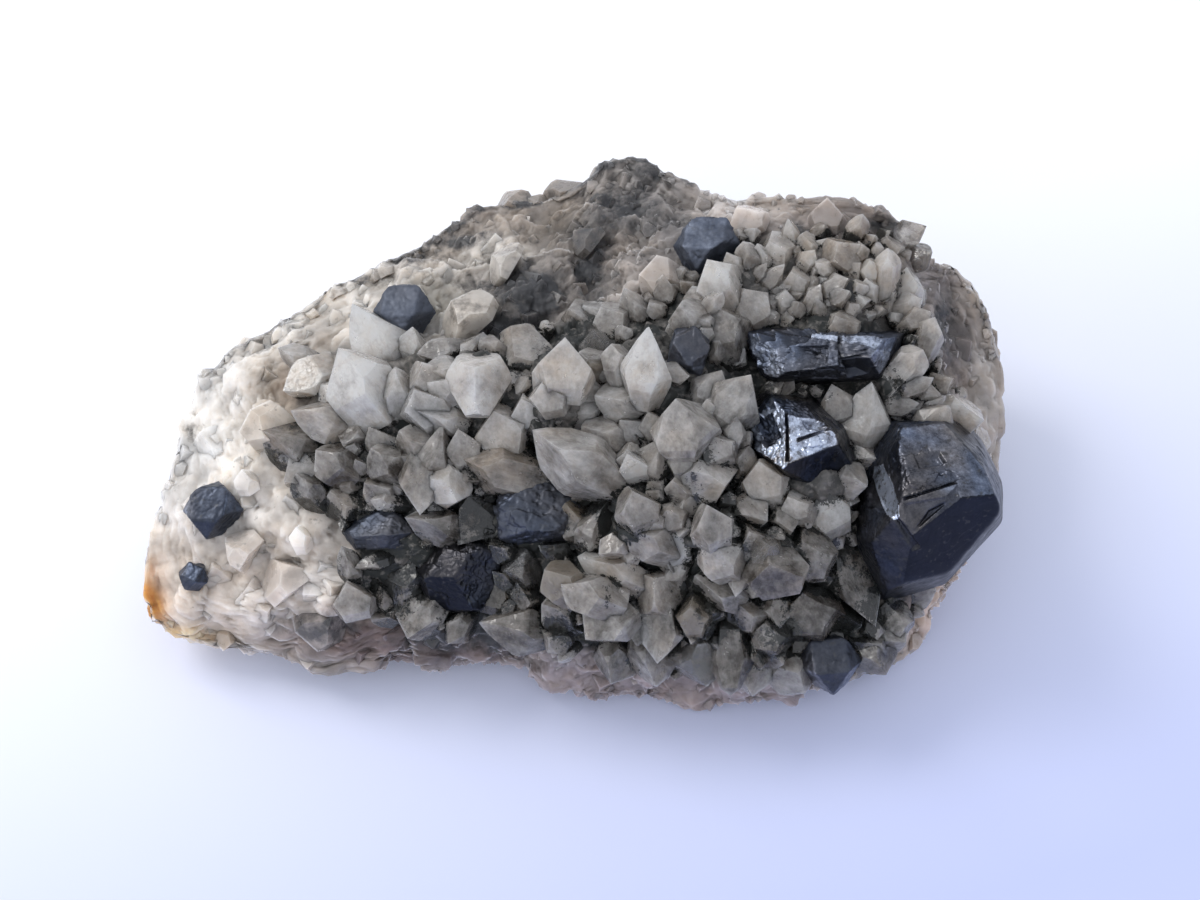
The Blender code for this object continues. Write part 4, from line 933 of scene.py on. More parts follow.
GALENA = {
    # place, level, half sizes in mm, how far out the corners are cut, and turns, for all twelve
    "galena_large": ((928, 508), -0.4, (5.0, 5.2, 4.9), 1.34, (45, -52, -18)),
    "galena_middle": ((799, 446), 0.8, (4.3, 3.9, 3.8), 1.14, (28, -26, 14)),
    "galena_bar": ((825, 353), -1.5, (6.8, 2.3, 2.6), 1.34, (4, -30, 7)),
    "galena_trough_left": ((385, 535), -3.6, (3.7, 2.3, 2.4), 1.22, (12, -30, 16)),
    "galena_trough_front": ((462, 573), -3.4, (3.2, 3.2, 3.0), 1.22, (40, -38, -10)),
    "galena_trough_back": ((538, 516), -2.8, (4.0, 2.6, 2.8), 1.20, (20, -24, -20)),
    "galena_front_edge": ((829, 662), -3.2, (2.3, 2.4, 2.4), 1.16, (40, -20, 10)),
    "galena_left_large": ((213, 510), -6.2, (2.3, 2.0, 2.0), 1.22, (30, -20, 12)),
    "galena_left_small": ((194, 577), -6.2, (1.3, 1.2, 1.2), 1.08, (20, -30, 0)),
    "galena_back_large": ((707, 246), -7.4, (2.7, 2.1, 2.2), 1.24, (20, -34, 16)),
    "galena_back_small": ((688, 352), 0.2, (1.8, 2.1, 1.9), 1.16, (10, -20, -24)),
    "galena_upper_left": ((404, 312), -8.6, (2.4, 2.2, 2.2), 1.18, (30, -28, 10)),
}
print("faces drawn for:", {name: len(faces) for name, faces in GALENA_FACES.items()})

# %% Rays, faces, cuts and relief
EDGE_POWER = 48  # higher is sharper
WELD_STEPS = 1e6  # steps to a cube's half side within which two points are one
TERRACE_STEPS = 2.5  # to each unit of noise
PIT_RADIUS = 0.36  # of the size of the pits' cells
CUT_BEVEL = 2.4  # picture units over which a cut reaches its depth
TARNISH = (0.08, 0.16, 0.24, 0.34)  # shines that the faces of the plain crystals draw from


def cube_grid(cells):
    """Directions over the six sides of a cube, at the tangents of equal angles, and the faces between them."""
    line = np.tan(np.linspace(-1, 1, cells + 1) * math.pi / 4)
    across, down = np.meshgrid(line, line, indexing="ij")
    directions, faces = [], []
    first = np.arange(cells)[:, None] * (cells + 1) + np.arange(cells)
    quads = np.stack([first, first + cells + 1, first + cells + 2, first + 1], -1).reshape(-1, 4)
    for axis in range(3):
        for way in (-1, 1):
            side = np.empty((cells + 1, cells + 1, 3))
            side[..., axis], side[..., (axis + 1) % 3], side[..., (axis + 2) % 3] = way, across, down
            own = quads if way > 0 else quads[:, ::-1]
            faces.append(own + len(directions) * (cells + 1) ** 2)
            directions.append(side.reshape(-1, 3))
    return welded(np.concatenate(directions), np.concatenate(faces))


def welded(points, faces):
    """Points that coincide become one: they are sorted by their rounded places and the faces are renumbered."""
    keys = np.round(points * WELD_STEPS).astype(np.int64)
    _, first, number = np.unique(keys, axis=0, return_index=True, return_inverse=True)
    return points[first], number.ravel()[faces]


def drawn_faces(three_points, centre):
    """Unit normals and distances from the centre of planes through three points each, turned outward."""
    corners = np.array(three_points, float)
    points = seen(corners[..., 0], corners[..., 1], corners[..., 2]) - centre
    normals = np.cross(points[:, 1] - points[:, 0], points[:, 2] - points[:, 0])
    normals /= np.linalg.norm(normals, axis=1)[:, None]
    distances = (normals * points[:, 0]).sum(1)
    return normals * np.sign(distances)[:, None], np.abs(distances)


def cut_cube_faces(half_sizes, corner_share, rotation):
    """The six faces of a block and the eight across its corners, at a share of the mean half size."""
    corners = np.array([(x, y, z) for x in (-1, 1) for y in (-1, 1) for z in (-1, 1)]) / math.sqrt(3)
    normals = np.concatenate([np.eye(3), -np.eye(3), corners])
    half = np.array(half_sizes) * MM
    distances = np.concatenate([half, half, np.full(8, half.mean() * corner_share)])
    return normals @ rotation.T, distances


def inside_outline(x, y, outline):
    """Whether places lie in a closed outline: a line to the right crosses it an odd number of times."""
    inside = np.zeros(x.shape, bool)
    for (ax, ay), (bx, by) in zip(outline, outline[1:] + outline[:1]):
        if ay == by:
            continue
        crosses = (ay > y) != (by > y)
        inside ^= crosses & (x < ax + (y - ay) * (bx - ax) / (by - ay))
    return inside


def galena_relief(points, salt, pitting):
    """Millimetres cut away: terraces from noise rounded to whole steps, pits, and broken facets of two sizes."""
    terraces = np.floor(TERRACE_STEPS * (1 + soft_noise(points, 2.4 * MM, salt))) / TERRACE_STEPS
    pits = np.maximum(0, PIT_RADIUS - grains(points, 0.8 * MM, salt + 11)[1])
    facets = 0.20 * grains(points, 1.5 * MM, salt + 51)[0] + 0.08 * grains(points, 0.5 * MM, salt + 31)[0]
    return 0.04 * terraces + pitting * (0.10 * terraces + 0.6 * pits + facets)


def add_galena(name, cells, rough, dull, salt):
    """A galena crystal from its faces, its cuts and its relief, with the shine of the face that each point is on.

    Reach along a ray = the sum over the faces of (the ray's part along the normal / the face's distance) to a high
    power, to minus one over that power. With an endless power it would be the nearest face's own distance.
    """
    spot, level, half_sizes, corner_share, turn = GALENA[name]
    centre = seen(*spot, level)
    first, back, last = (math.radians(angle) for angle in turn)
    rotation = Matrix.Rotation(last, 3, "Z") @ Matrix.Rotation(back, 3, "X") @ Matrix.Rotation(first, 3, "Z")
    if name in GALENA_FACES:
        normals, distances = drawn_faces([face[2:] for face in GALENA_FACES[name]], centre)
        shines, pittings = np.array([face[:2] for face in GALENA_FACES[name]]).T
        axes = np.array(viewer_turn())
    else:
        axes = np.array(viewer_turn() @ rotation)
        normals, distances = cut_cube_faces(half_sizes, corner_share, axes)
        shines = np.random.default_rng(salt).choice(TARNISH, len(normals))
        pittings = np.full(len(normals), rough)
    directions, faces = cube_grid(cells)
    rays = (directions * half_sizes * MM) @ axes.T
    shares = np.maximum(rays @ normals.T, 0) / distances
    reach = (shares**EDGE_POWER).sum(1) ** (-1 / EDGE_POWER)
    shine, pitting = shines[shares.argmax(1)], pittings[shares.argmax(1)]
    x, y = picture_place(centre + rays * reach[:, None])
    length = np.linalg.norm(rays, axis=1)
    for cut_shine, cut_pitting, outline, depth in GALENA_CUTS.get(name, ()):
        cut = inside_outline(x, y, outline) & (rays @ FORWARD < 0)
        sides = [capsule_distance(x, y, start, end) for start, end in zip(outline, outline[1:] + outline[:1])]
        reach = reach - cut * smooth_step(np.min(sides, axis=0), 0, CUT_BEVEL) * depth * MM / length
        shine, pitting = np.where(cut, cut_shine, shine), np.where(cut, cut_pitting, pitting)
    points = centre + rays * reach[:, None]
    points = points - rays / length[:, None] * (galena_relief(points, salt, pitting) * MM)[:, None]
    piece = add_piece(f"{name}_surface", points, faces.tolist(), name, smooth=True)
    add_number(piece, "shine", shine)
    add_number(piece, "dull", np.full(len(points), dull))
    return piece


GALENA_FINISH = {
    # cells along a side, roughness of the faces, and how dull the metal is
    "galena_large": (96, 0.12, 0.1), "galena_middle": (80, 0.4, 0.0), "galena_bar": (84, 0.9, 0.3),
    "galena_trough_left": (54, 0.3, 0.6), "galena_trough_front": (60, 0.3, 0.1),
    "galena_trough_back": (54, 0.8, 0.5), "galena_front_edge": (36, 0.3, 0.3),
    "galena_left_large": (36, 0.3, 0.25), "galena_left_small": (24, 0.3, 0.25),
    "galena_back_large": (36, 0.5, 0.8), "galena_back_small": (30, 0.5, 0.4), "galena_upper_left": (36, 0.4, 1.0),
}
FIRST_SALT, SALT_STEP = 101, 13  # so that each crystal has marks of its own
galena_pieces = [
    add_galena(name, *finish, FIRST_SALT + SALT_STEP * number)
    for number, (name, finish) in enumerate(GALENA_FINISH.items())
]

# %% [markdown]
# ## What each surface is made of
#
# Each finish is built from nodes on one Principled shader. Small helpers add a node, link it and set its plain
# values, so that a finish reads as a short list of what happens to the light.

# %% Helpers for building a finish
class Finish:
    """A material with its shader, and short ways to add nodes to it."""

    def __init__(self, name):
        self.material = bpy.data.materials.new(name)
        self.material.use_nodes = True
        self.tree = self.material.node_tree
        self.shader = self.tree.nodes["Principled BSDF"]
        self.place = self.node("ShaderNodeTexCoord").outputs["Object"]

    def node(self, kind, settings=None, **inputs):
        """Adds a node. Settings are its own options, and each input is a value or another node's output."""
        made = self.tree.nodes.new(kind)
        for option, value in (settings or {}).items():
            setattr(made, option, value)
        for name, value in inputs.items():
            socket = made.inputs[int(name[1:]) if name[0] == "i" and name[1:].isdigit() else name.replace("_", " ")]
            if isinstance(value, bpy.types.NodeSocket):
                self.tree.links.new(value, socket)
            else:
                socket.default_value = value
        return made

    def noise(self, scale, detail=3.0, roughness=0.55, place=None):
        """Soft noise from 0 to 1, with so many bumps to a metre, read at the model's own places or at others."""
        place = place or self.place
        made = self.node("ShaderNodeTexNoise", Vector=place, Scale=scale, Detail=detail, Roughness=roughness)
        return made.outputs["Fac"]

    def cells(self, scale, output="Distance", feature="F1"):
        """Cells, so many to a metre: the distance from the nearest centre, or a colour for each."""
        made = self.node("ShaderNodeTexVoronoi", {"feature": feature}, Vector=self.place, Scale=scale)
        return made.outputs[output]

    def number(self, name):
        """A number that the mesh carries for each point."""
        return self.node("ShaderNodeAttribute", {"attribute_name": name}).outputs["Fac"]

    def own_place(self, name):
        """A place that the mesh carries for each point."""
        return self.node("ShaderNodeAttribute", {"attribute_name": name}).outputs["Vector"]

    def colour(self, name):
        """A colour that the mesh carries for each point."""
        return self.node("ShaderNodeAttribute", {"attribute_name": name}).outputs["Color"]

    def math(self, operation, a, b):
        """One sum, such as ADD or MULTIPLY, on two values or outputs."""
        return self.node("ShaderNodeMath", {"operation": operation}, i0=a, i1=b).outputs[0]

    def ramp(self, value, low, high, to_low=0.0, to_high=1.0):
        """A value from low to high, carried over to to_low to to_high and held at both ends."""
        return self.node("ShaderNodeMapRange", i0=value, i1=low, i2=high, i3=to_low, i4=to_high).outputs["Result"]

    def mix(self, share, first, second, blend="MIX"):
        """Two colours mixed by a share."""
        made = self.node("ShaderNodeMix", {"data_type": "RGBA", "blend_type": blend})
        for slot, value in ((0, share), (6, first), (7, second)):
            if isinstance(value, bpy.types.NodeSocket):
                self.tree.links.new(value, made.inputs[slot])
            else:
                made.inputs[slot].default_value = value if slot == 0 else (*value, 1)
        return made.outputs[2]

    def bump(self, height, distance, strength=1.0, below=None):
        """A normal that leans with a height in millimetres."""
        made = self.node("ShaderNodeBump", Height=height, Distance=distance * MM, Strength=strength)
        if below:
            self.tree.links.new(below, made.inputs["Normal"])
        return made.outputs["Normal"]

    def set(self, **inputs):
        """Plain values and links for the shader's own sockets."""
        for name, value in inputs.items():
            socket = self.shader.inputs[name.replace("_", " ")]
            if isinstance(value, bpy.types.NodeSocket):
                self.tree.links.new(value, socket)
            else:
                socket.default_value = value
        return self


# %% [markdown]
# ## The rock's colours
#
# The rock is cream to white at its left end, with a bright band along the back, beige lower down, and stained
# orange-brown at the left tip. Its back is grey and has dark, smoky patches, and the low front wall is mauve-grey
# with painted shade laid into it. A brown spot beside the left hollow is painted shadow.
# Each region is a soft round spot with a colour, laid over the last one on the mesh's points. Every grain and every
# block is then made a little lighter or darker, because stone changes colour from one grain to the next.

# %% Paint the rock's regions
ROCK_COLOUR = (0.26, 0.24, 0.225)
REGION_AND_SHADE_SPOTS = (
    # x, y, reach across, reach down, colour, strength
    (240, 490, 90, 90, (0.74, 0.70, 0.66), 0.9), (225, 400, 60, 70, (0.76, 0.73, 0.69), 0.9),
    (295, 345, 70, 36, (0.76, 0.72, 0.67), 0.9), (365, 300, 60, 28, (0.66, 0.61, 0.55), 0.9),
    (430, 272, 50, 24, (0.52, 0.47, 0.42), 0.8), (520, 226, 60, 22, (0.34, 0.30, 0.265), 0.8),
    (210, 600, 70, 44, (0.64, 0.56, 0.49), 0.8), (325, 545, 60, 50, (0.56, 0.51, 0.46), 0.8),
    (310, 605, 70, 30, (0.64, 0.58, 0.53), 0.8), (300, 430, 34, 40, (0.50, 0.44, 0.37), 0.7),
    # the spot at 300, 390 is painted shadow in a brown tone; the front wall's spots, from 390, 640 to 720, 700, are
    # mauve-grey with painted shade in them
    (300, 390, 26, 22, (0.34, 0.27, 0.21), 0.7), (390, 640, 90, 18, (0.165, 0.125, 0.12), 0.9),
    (455, 648, 60, 12, (0.13, 0.10, 0.10), 0.8), (600, 685, 110, 22, (0.25, 0.215, 0.22), 0.9),
    (720, 700, 90, 16, (0.26, 0.22, 0.225), 0.9), (735, 212, 44, 18, (0.62, 0.57, 0.54), 0.8),
    (650, 285, 30, 22, (0.40, 0.36, 0.33), 0.6), (860, 222, 70, 24, (0.25, 0.215, 0.195), 0.7),
    (965, 340, 45, 110, (0.25, 0.21, 0.185), 0.9), (985, 400, 14, 70, (0.42, 0.38, 0.35), 0.7),
    (958, 340, 12, 20, (0.11, 0.095, 0.09), 0.8), (890, 300, 24, 24, (0.30, 0.26, 0.235), 0.8),
    (975, 290, 20, 18, (0.40, 0.35, 0.31), 0.7), (940, 290, 14, 20, (0.16, 0.14, 0.13), 0.6),
    (500, 258, 24, 14, (0.56, 0.52, 0.47), 0.9), (560, 232, 24, 18, (0.17, 0.15, 0.13), 0.8),
    (430, 300, 30, 20, (0.40, 0.385, 0.34), 0.5), (660, 230, 40, 26, (0.13, 0.12, 0.115), 0.7),
    (540, 285, 40, 20, (0.17, 0.15, 0.135), 0.6), (604, 262, 24, 16, (0.30, 0.26, 0.23), 0.6),
    (324, 354, 20, 24, (0.42, 0.38, 0.34), 0.6), (935, 600, 34, 40, (0.46, 0.36, 0.31), 0.9),
    (150, 600, 12, 18, (0.58, 0.27, 0.07), 0.9), (172, 636, 34, 8, (0.66, 0.48, 0.28), 0.7),
    (510, 452, 14, 14, (0.32, 0.22, 0.14), 0.6),
)
SMOKE_SPOTS = (
    # x, y, reach across, reach down, strength
    (500, 330, 26, 20, 0.95), (530, 300, 30, 34, 1.0), (480, 290, 20, 16, 0.7), (560, 345, 24, 16, 0.7),
    (620, 208, 36, 24, 0.8), (640, 190, 20, 12, 0.4), (590, 245, 20, 18, 0.8), (590, 285, 20, 26, 0.8),
    (450, 240, 50, 7, 0.8), (400, 258, 40, 7, 0.8), (350, 280, 40, 6, 0.8), (240, 345, 30, 6, 0.8),
    (190, 425, 7, 34, 0.45), (525, 338, 20, 16, 1.0), (584, 262, 14, 26, 0.9), (650, 172, 30, 9, 0.8),
    (390, 330, 24, 12, 0.7), (425, 350, 22, 12, 0.6),
    (846, 293, 15, 10, 1.2), (800, 240, 18, 12, 0.8), (880, 225, 24, 10, 0.8), (325, 625, 24, 10, 0.8),
    (440, 640, 46, 12, 0.8), (500, 636, 24, 12, 0.9), (870, 330, 20, 14, 0.8), (940, 330, 14, 30, 0.8),
    (680, 225, 18, 12, 0.6), (745, 260, 14, 14, 0.6), (780, 300, 16, 12, 0.6), (700, 180, 26, 6, 0.8),
)


def spot_share(x, y, spot_x, spot_y, reach_x, reach_y):
    """A bell of height 1: e to the minus half the squared distance, counted in reaches."""
    return np.exp(-0.5 * (((x - spot_x) / reach_x) ** 2 + ((y - spot_y) / reach_y) ** 2))


WAVER, WAVER_SIZE = 0.6 * MM, 3 * MM  # how far and over what length the regions' edges wander
REGION_GAIN = 1.5  # more than 1 gives each region a flat middle


def paint_rock(points):
    """Colours and smokiness of points. Each region is laid over the ones before it. The back left rim is darker."""
    waver = np.stack([soft_noise(points, WAVER_SIZE, 91 + axis) for axis in range(3)], -1)
    x, y = picture_place(points + WAVER * waver)
    colours = np.tile(np.array(ROCK_COLOUR), (len(points), 1))
    for *spot, colour, strength in REGION_AND_SHADE_SPOTS:
        share = np.clip(REGION_GAIN * strength * spot_share(x, y, *spot), 0, 1)[:, None]
        colours = colours * (1 - share) + np.array(colour) * share
    smoke = np.zeros(len(points))
    for *spot, strength in SMOKE_SPOTS:
        smoke = np.maximum(smoke, strength * spot_share(x, y, *spot))
    across, down = x - ROCK_MIDDLE[0], y - ROCK_MIDDLE[1]
    rim = np.hypot(across, down) / rim_reach(ROCK_RIM, ROCK_MIDDLE, np.arctan2(down, across))
    back_rim_darkening = smooth_step(rim, 0.97, 1.0) * smooth_step(-y, -400, -350) * smooth_step(-x, -720, -650)
    return colours, np.maximum(smoke, 0.8 * back_rim_darkening)


DRUSE_TONES_AND_SHADE = (
    # x, y, reach across, reach down, how much lighter, how much dustier. The lightness is partly painted shade:
    # darker in the hollow, the trough and towards the front and right, lighter towards the back.
    (480, 395, 90, 40, 0.2, -0.3), (570, 420, 70, 40, 0.1, 0.0), (650, 360, 50, 30, 0.2, -0.3),
    (590, 400, 24, 20, 0.2, -0.2), (790, 556, 18, 14, -0.3, 0.3), (605, 600, 24, 20, 0.45, -0.4),
    (652, 642, 26, 18, -0.3, 0.2), (885, 300, 24, 24, 1.1, -1.2), (350, 460, 50, 36, -0.35, 0.1),
    (430, 440, 60, 30, -0.15, 0.2), (400, 500, 50, 30, -0.1, 0.2), (540, 530, 50, 50, -0.55, 1.0),
    (310, 380, 50, 40, 0.55, -0.5), (372, 350, 40, 30, 0.5, -0.5), (800, 272, 26, 20, 0.35, -0.4),
    (600, 400, 50, 30, 0.25, -0.4), (640, 545, 40, 30, 0.2, -0.3),
    (725, 540, 34, 30, 0.25, -0.3), (830, 500, 30, 30, 0.6, -0.9), (740, 645, 40, 20, -0.5, 0.9),
    (440, 570, 60, 40, -0.35, 0.8), (850, 600, 36, 56, -0.6, 1.0), (790, 600, 50, 60, -0.35, 0.3),
    (650, 620, 110, 30, -0.25, 0.3), (500, 600, 60, 34, -0.35, 0.8), (400, 600, 40, 26, -0.15, 0.3),
    (620, 520, 20, 20, -0.1, 0.6), (760, 280, 80, 40, 0.1, -0.3),
    (860, 250, 50, 30, 0.15, -0.3), (940, 400, 40, 50, 0.2, 0.0), (905, 345, 20, 20, -0.2, 0.4),
    (360, 590, 40, 30, 0.1, -0.2), (880, 640, 40, 24, -0.1, 0.4), (740, 480, 20, 50, -0.1, 0.4),
)
BROWN_SPOTS = (
    # x, y, reach across, reach down, how much browner
    (850, 250, 90, 50, 0.8), (508, 455, 26, 18, 1.0), (690, 500, 60, 30, 0.3), (620, 560, 40, 40, 0.3),
    (950, 400, 40, 60, 0.5), (300, 410, 30, 50, 0.7), (560, 350, 60, 30, 0.4), (770, 590, 60, 40, 0.2),
)


def spot_sum(spots, column, x, y):
    """The sum of the spots' bells at picture points, each times its number in a column of the table."""
    return sum(spot[column] * spot_share(x, y, *spot[:4]) for spot in spots)


LIGHTER, DUSTIER, BROWNER = 4, 5, 4  # columns of the tables above


def tone_crystals(name):
    """Lightness, dust and brown film for each crystal of a group: its own lightness times its region's, which is
    partly painted shade, and the dust and the film of its region."""
    piece, (roots, tips, _, _, light) = pieces[name], groups[name]
    middle = picture_place((roots + tips) / 2)
    per_crystal = len(piece.data.vertices) // len(roots)
    add_number(piece, "light", (light * (1 + spot_sum(DRUSE_TONES_AND_SHADE, LIGHTER, *middle))).repeat(per_crystal))
    add_number(piece, "dusty", np.clip(spot_sum(DRUSE_TONES_AND_SHADE, DUSTIER, *middle), -0.5, 1).repeat(per_crystal))
    add_number(piece, "brown", np.clip(spot_sum(BROWN_SPOTS, BROWNER, *middle), 0, 1).repeat(per_crystal))


def paint_crystals(name, seed, spread):
    """One colour for each crystal: its region's times its lightness, give or take the spread, and a little warmer
    or colder."""
    piece, (roots, tips, _, _, light) = pieces[name], groups[name]
    dice = np.random.default_rng(seed)
    colours, smoke = paint_rock((roots + tips) / 2)
    warmer = dice.uniform(-0.02, 0.02, (len(roots), 1)) * (1, 0, -1)
    colours = colours * (light[:, None] * dice.uniform(1 - spread, 1 + spread, (len(roots), 1)) + warmer)
    per_crystal = len(piece.data.vertices) // len(roots)
    add_colour(piece, "region", np.clip(colours, 0, 0.88).repeat(per_crystal, axis=0))
    add_number(piece, "smoke", smoke.repeat(per_crystal))


rock_colours, rock_smoke = paint_rock(rock_points)
grain_lightness = 1 + 0.10 * grains(rock_points, *LARGE_GRAINS)[0] + 0.06 * grains(rock_points, *SMALL_GRAINS)[0]
rock_x, rock_y = picture_place(rock_points)
facing = smooth_step(-(outwards.reshape(-1, 3) @ FORWARD), -0.1, 0.3)
add_colour(host_rock, "region", np.clip(rock_colours * grain_lightness[:, None], 0, 0.85))
add_number(host_rock, "smoke", rock_smoke)
ground_dust = np.clip(0.9 + 0.4 * spot_sum(DRUSE_TONES_AND_SHADE, DUSTIER, rock_x, rock_y), 0, 1)
add_number(host_rock, "dust", crust_share(rock_x, rock_y) * facing * ground_dust)
MILKY_GROUPS, ROCK_GROUPS = ("quartz_points", "small_quartz_points"), ("rock_points", "massive_quartz_blocks")
for name in (*MILKY_GROUPS, "clear_quartz_points", "smoky_quartz_points", "clear_rock_points"):
    tone_crystals(name)
paint_crystals("rock_points", 21, 0.04)
paint_crystals("massive_quartz_blocks", 22, 0.09)
print("painted", len(REGION_AND_SHADE_SPOTS), "regions and", len(SMOKE_SPOTS), "smoky patches")

# %% The rock's finish
QUARTZ_IOR = 1.544
SMOKE_COLOUR, SPECK_COLOUR, ROOT_DARK_COLOUR = (0.036, 0.038, 0.042), (0.10, 0.09, 0.08), (0.24, 0.21, 0.18)
FILM_COLOUR = (0.90, 0.82, 0.72)  # the share of each colour that the brownish film lets through
DUST_DARK, DUST_LIGHT = (0.014, 0.016, 0.015), (0.13, 0.12, 0.11)


def stone_colour(stone):
    """The region's colour times each grain's own brightness, with brown film, ragged smoky patches and specks."""
    tone = stone.ramp(stone.noise(700, 4, 0.6), 0.3, 0.7, 0.88, 1.10)
    for scale, spread in ((330, 0.20), (800, 0.14)):
        grain = stone.node("ShaderNodeSeparateColor", Color=stone.cells(scale, "Color", "SMOOTH_F1")).outputs[0]
        tone = stone.math("MULTIPLY", tone, stone.ramp(grain, 0.15, 0.85, 1 - spread, 1 + 0.7 * spread))
    grey = stone.node("ShaderNodeCombineColor", Red=tone, Green=tone, Blue=tone).outputs[0]
    colour = stone.mix(1.0, stone.colour("region"), grey, "MULTIPLY")
    film = stone.ramp(stone.noise(210, 4, 0.7), 0.44, 0.66, 0, 0.65)
    colour = stone.mix(film, colour, FILM_COLOUR, "MULTIPLY")
    ragged = stone.ramp(stone.noise(420, 4, 0.7), 0.3, 0.7, -0.4, 0.4)
    smoke = stone.ramp(stone.math("ADD", stone.number("smoke"), ragged), 0.3, 0.8, 0, 0.92)
    colour = stone.mix(smoke, colour, SMOKE_COLOUR)
    return stone.mix(stone.ramp(stone.noise(1300, 2), 0.68, 0.76, 0, 0.45), colour, SPECK_COLOUR)


stone = Finish("host_rock")
patchy = stone.ramp(stone.noise(500, 4, 0.7), 0.3, 0.55, 0.7, 1.25)
dust_share = stone.math("MULTIPLY", stone.number("dust"), patchy)
dust_colour = stone.mix(stone.ramp(stone.noise(1500, 3), 0.55, 0.7), DUST_DARK, DUST_LIGHT)
stone_base = stone.mix(dust_share, stone_colour(stone), dust_colour)
stone_bump = stone.bump(stone.cells(1100), 0.15, 0.6)
stone_bump = stone.bump(stone.noise(2600, 3, 0.6), 0.07, 0.7, stone_bump)
stone_roughness = stone.ramp(stone.cells(1100, "Color"), 0.2, 0.8, 0.35, 0.8)
stone.set(Base_Color=stone_base, Roughness=stone_roughness, Normal=stone_bump)
stone.set(IOR=QUARTZ_IOR, Specular_IOR_Level=0.3, Subsurface_Weight=stone.ramp(dust_share, 0.1, 0.6, 0.85, 0.0))
stone.set(Subsurface_Radius=(1.0, 0.94, 0.88), Subsurface_Scale=2.4 * MM)
host_rock.data.materials.append(stone.material)

massive = Finish("massive_quartz")
# each block is darker towards its root, where it meets the rock
root_darkening = massive.ramp(massive.number("rise"), 0.4, 0.66, 0.12, 0.0)
massive_base = massive.mix(root_darkening, stone_colour(massive), ROOT_DARK_COLOUR)
massive_bump = massive.bump(massive.noise(2200, 3, 0.6), 0.06, 0.6)
massive_roughness = massive.ramp(massive.noise(700, 3), 0.35, 0.7, 0.2, 0.55)
massive.set(Base_Color=massive_base, Roughness=massive_roughness, Normal=massive_bump)
massive.set(IOR=QUARTZ_IOR, Subsurface_Weight=0.9, Subsurface_Radius=(1.0, 0.95, 0.9), Subsurface_Scale=2.4 * MM)
for name in ROCK_GROUPS:
    pieces[name].data.materials.append(massive.material)

# %% [markdown]
# ## Quartz
#
# Rock crystal is clear, but these points are milky or smoky inside, and frosted by fine growth lines. Light goes in
# and some of it comes through, so the shader passes a share of the light and scatters the rest. Dark dust has
# gathered at the roots, and each point is a little lighter or darker than its neighbour. The milkiness lies in
# streaks along each crystal, so that noise is read from the crystal's own places, which are squeezed along its
# axis. A brown film stains some of the points.

# %% The three quartz finishes
STAIN_COLOUR = (0.80, 0.70, 0.60)  # the share of each colour that the brown film lets through
QUARTZ_SPECKS, QUARTZ_DUST = (0.09, 0.085, 0.075), (0.022, 0.025, 0.024)


def quartz_finish(name, low_tone, high_tone, transmission, roughness, dust_strength):
    """A quartz whose body goes from the low to the high tone by its lightness, its veils, its streaks and a tone
    that is lighter towards each point's tip and darker towards its root, with brown film, specks, and dust up to a
    ragged height over the rock."""
    finish = Finish(name)
    rise, light = finish.number("rise"), finish.number("light")
    veils_and_tip_tone = finish.ramp(finish.noise(340, 5, 0.7), 0.3, 0.7, -0.34, 0.36)
    streaks = finish.noise(800, 4, 0.7, finish.own_place("own_place"))
    # each point is made lighter towards its tip and darker towards its root
    veils_and_tip_tone = finish.math("ADD", veils_and_tip_tone, finish.ramp(rise, 0.4, 1.0, -0.06, 0.1))
    tone = finish.math("ADD", finish.math("ADD", light, veils_and_tip_tone), finish.ramp(streaks, 0.3, 0.7, -0.26, 0.26))
    body = finish.mix(finish.ramp(tone, 0.0, 1.35), low_tone, high_tone)
    stain = finish.math("ADD", finish.ramp(finish.noise(230, 4, 0.7), 0.4, 0.65), finish.number("brown"))
    body = finish.mix(finish.ramp(stain, 0.0, 1.6), body, STAIN_COLOUR, "MULTIPLY")
    body = finish.mix(finish.ramp(finish.noise(1900, 2), 0.64, 0.76, 0, 0.3), body, QUARTZ_SPECKS)
    ragged = finish.ramp(finish.noise(620, 5, 0.85), 0.3, 0.7, -1.3, 1.3)
    height = finish.math("ADD", ragged, finish.ramp(finish.number("dusty"), -0.5, 1.0, 1.5, 3.5))
    dust = finish.ramp(finish.math("SUBTRACT", height, finish.number("above")), 0.0, 0.25, 0, dust_strength)
    base = finish.mix(dust, body, QUARTZ_DUST)
    smooth = finish.ramp(finish.noise(600, 3), 0.35, 0.7, roughness, roughness + 0.25)
    uneven = finish.bump(streaks, 0.22, 0.7, finish.bump(finish.noise(480, 3, 0.6), 0.42, 0.8))
    finish.set(Base_Color=base, Roughness=smooth, Normal=finish.bump(finish.noise(2600, 2, 0.5), 0.03, 0.4, uneven))
    finish.set(IOR=QUARTZ_IOR, Transmission_Weight=transmission)
    finish.set(Subsurface_Weight=0.9, Subsurface_Radius=(1.0, 0.97, 0.94), Subsurface_Scale=2.6 * MM)
    return finish


def absorbing(finish, colour, density):
    """Plain absorption inside a see-through body: a colour, and a density per metre."""
    inside = finish.node("ShaderNodeVolumeAbsorption", Color=(*colour, 1), Density=density)
    output = finish.tree.nodes["Material Output"]
    finish.tree.links.new(inside.outputs["Volume"], output.inputs["Volume"])


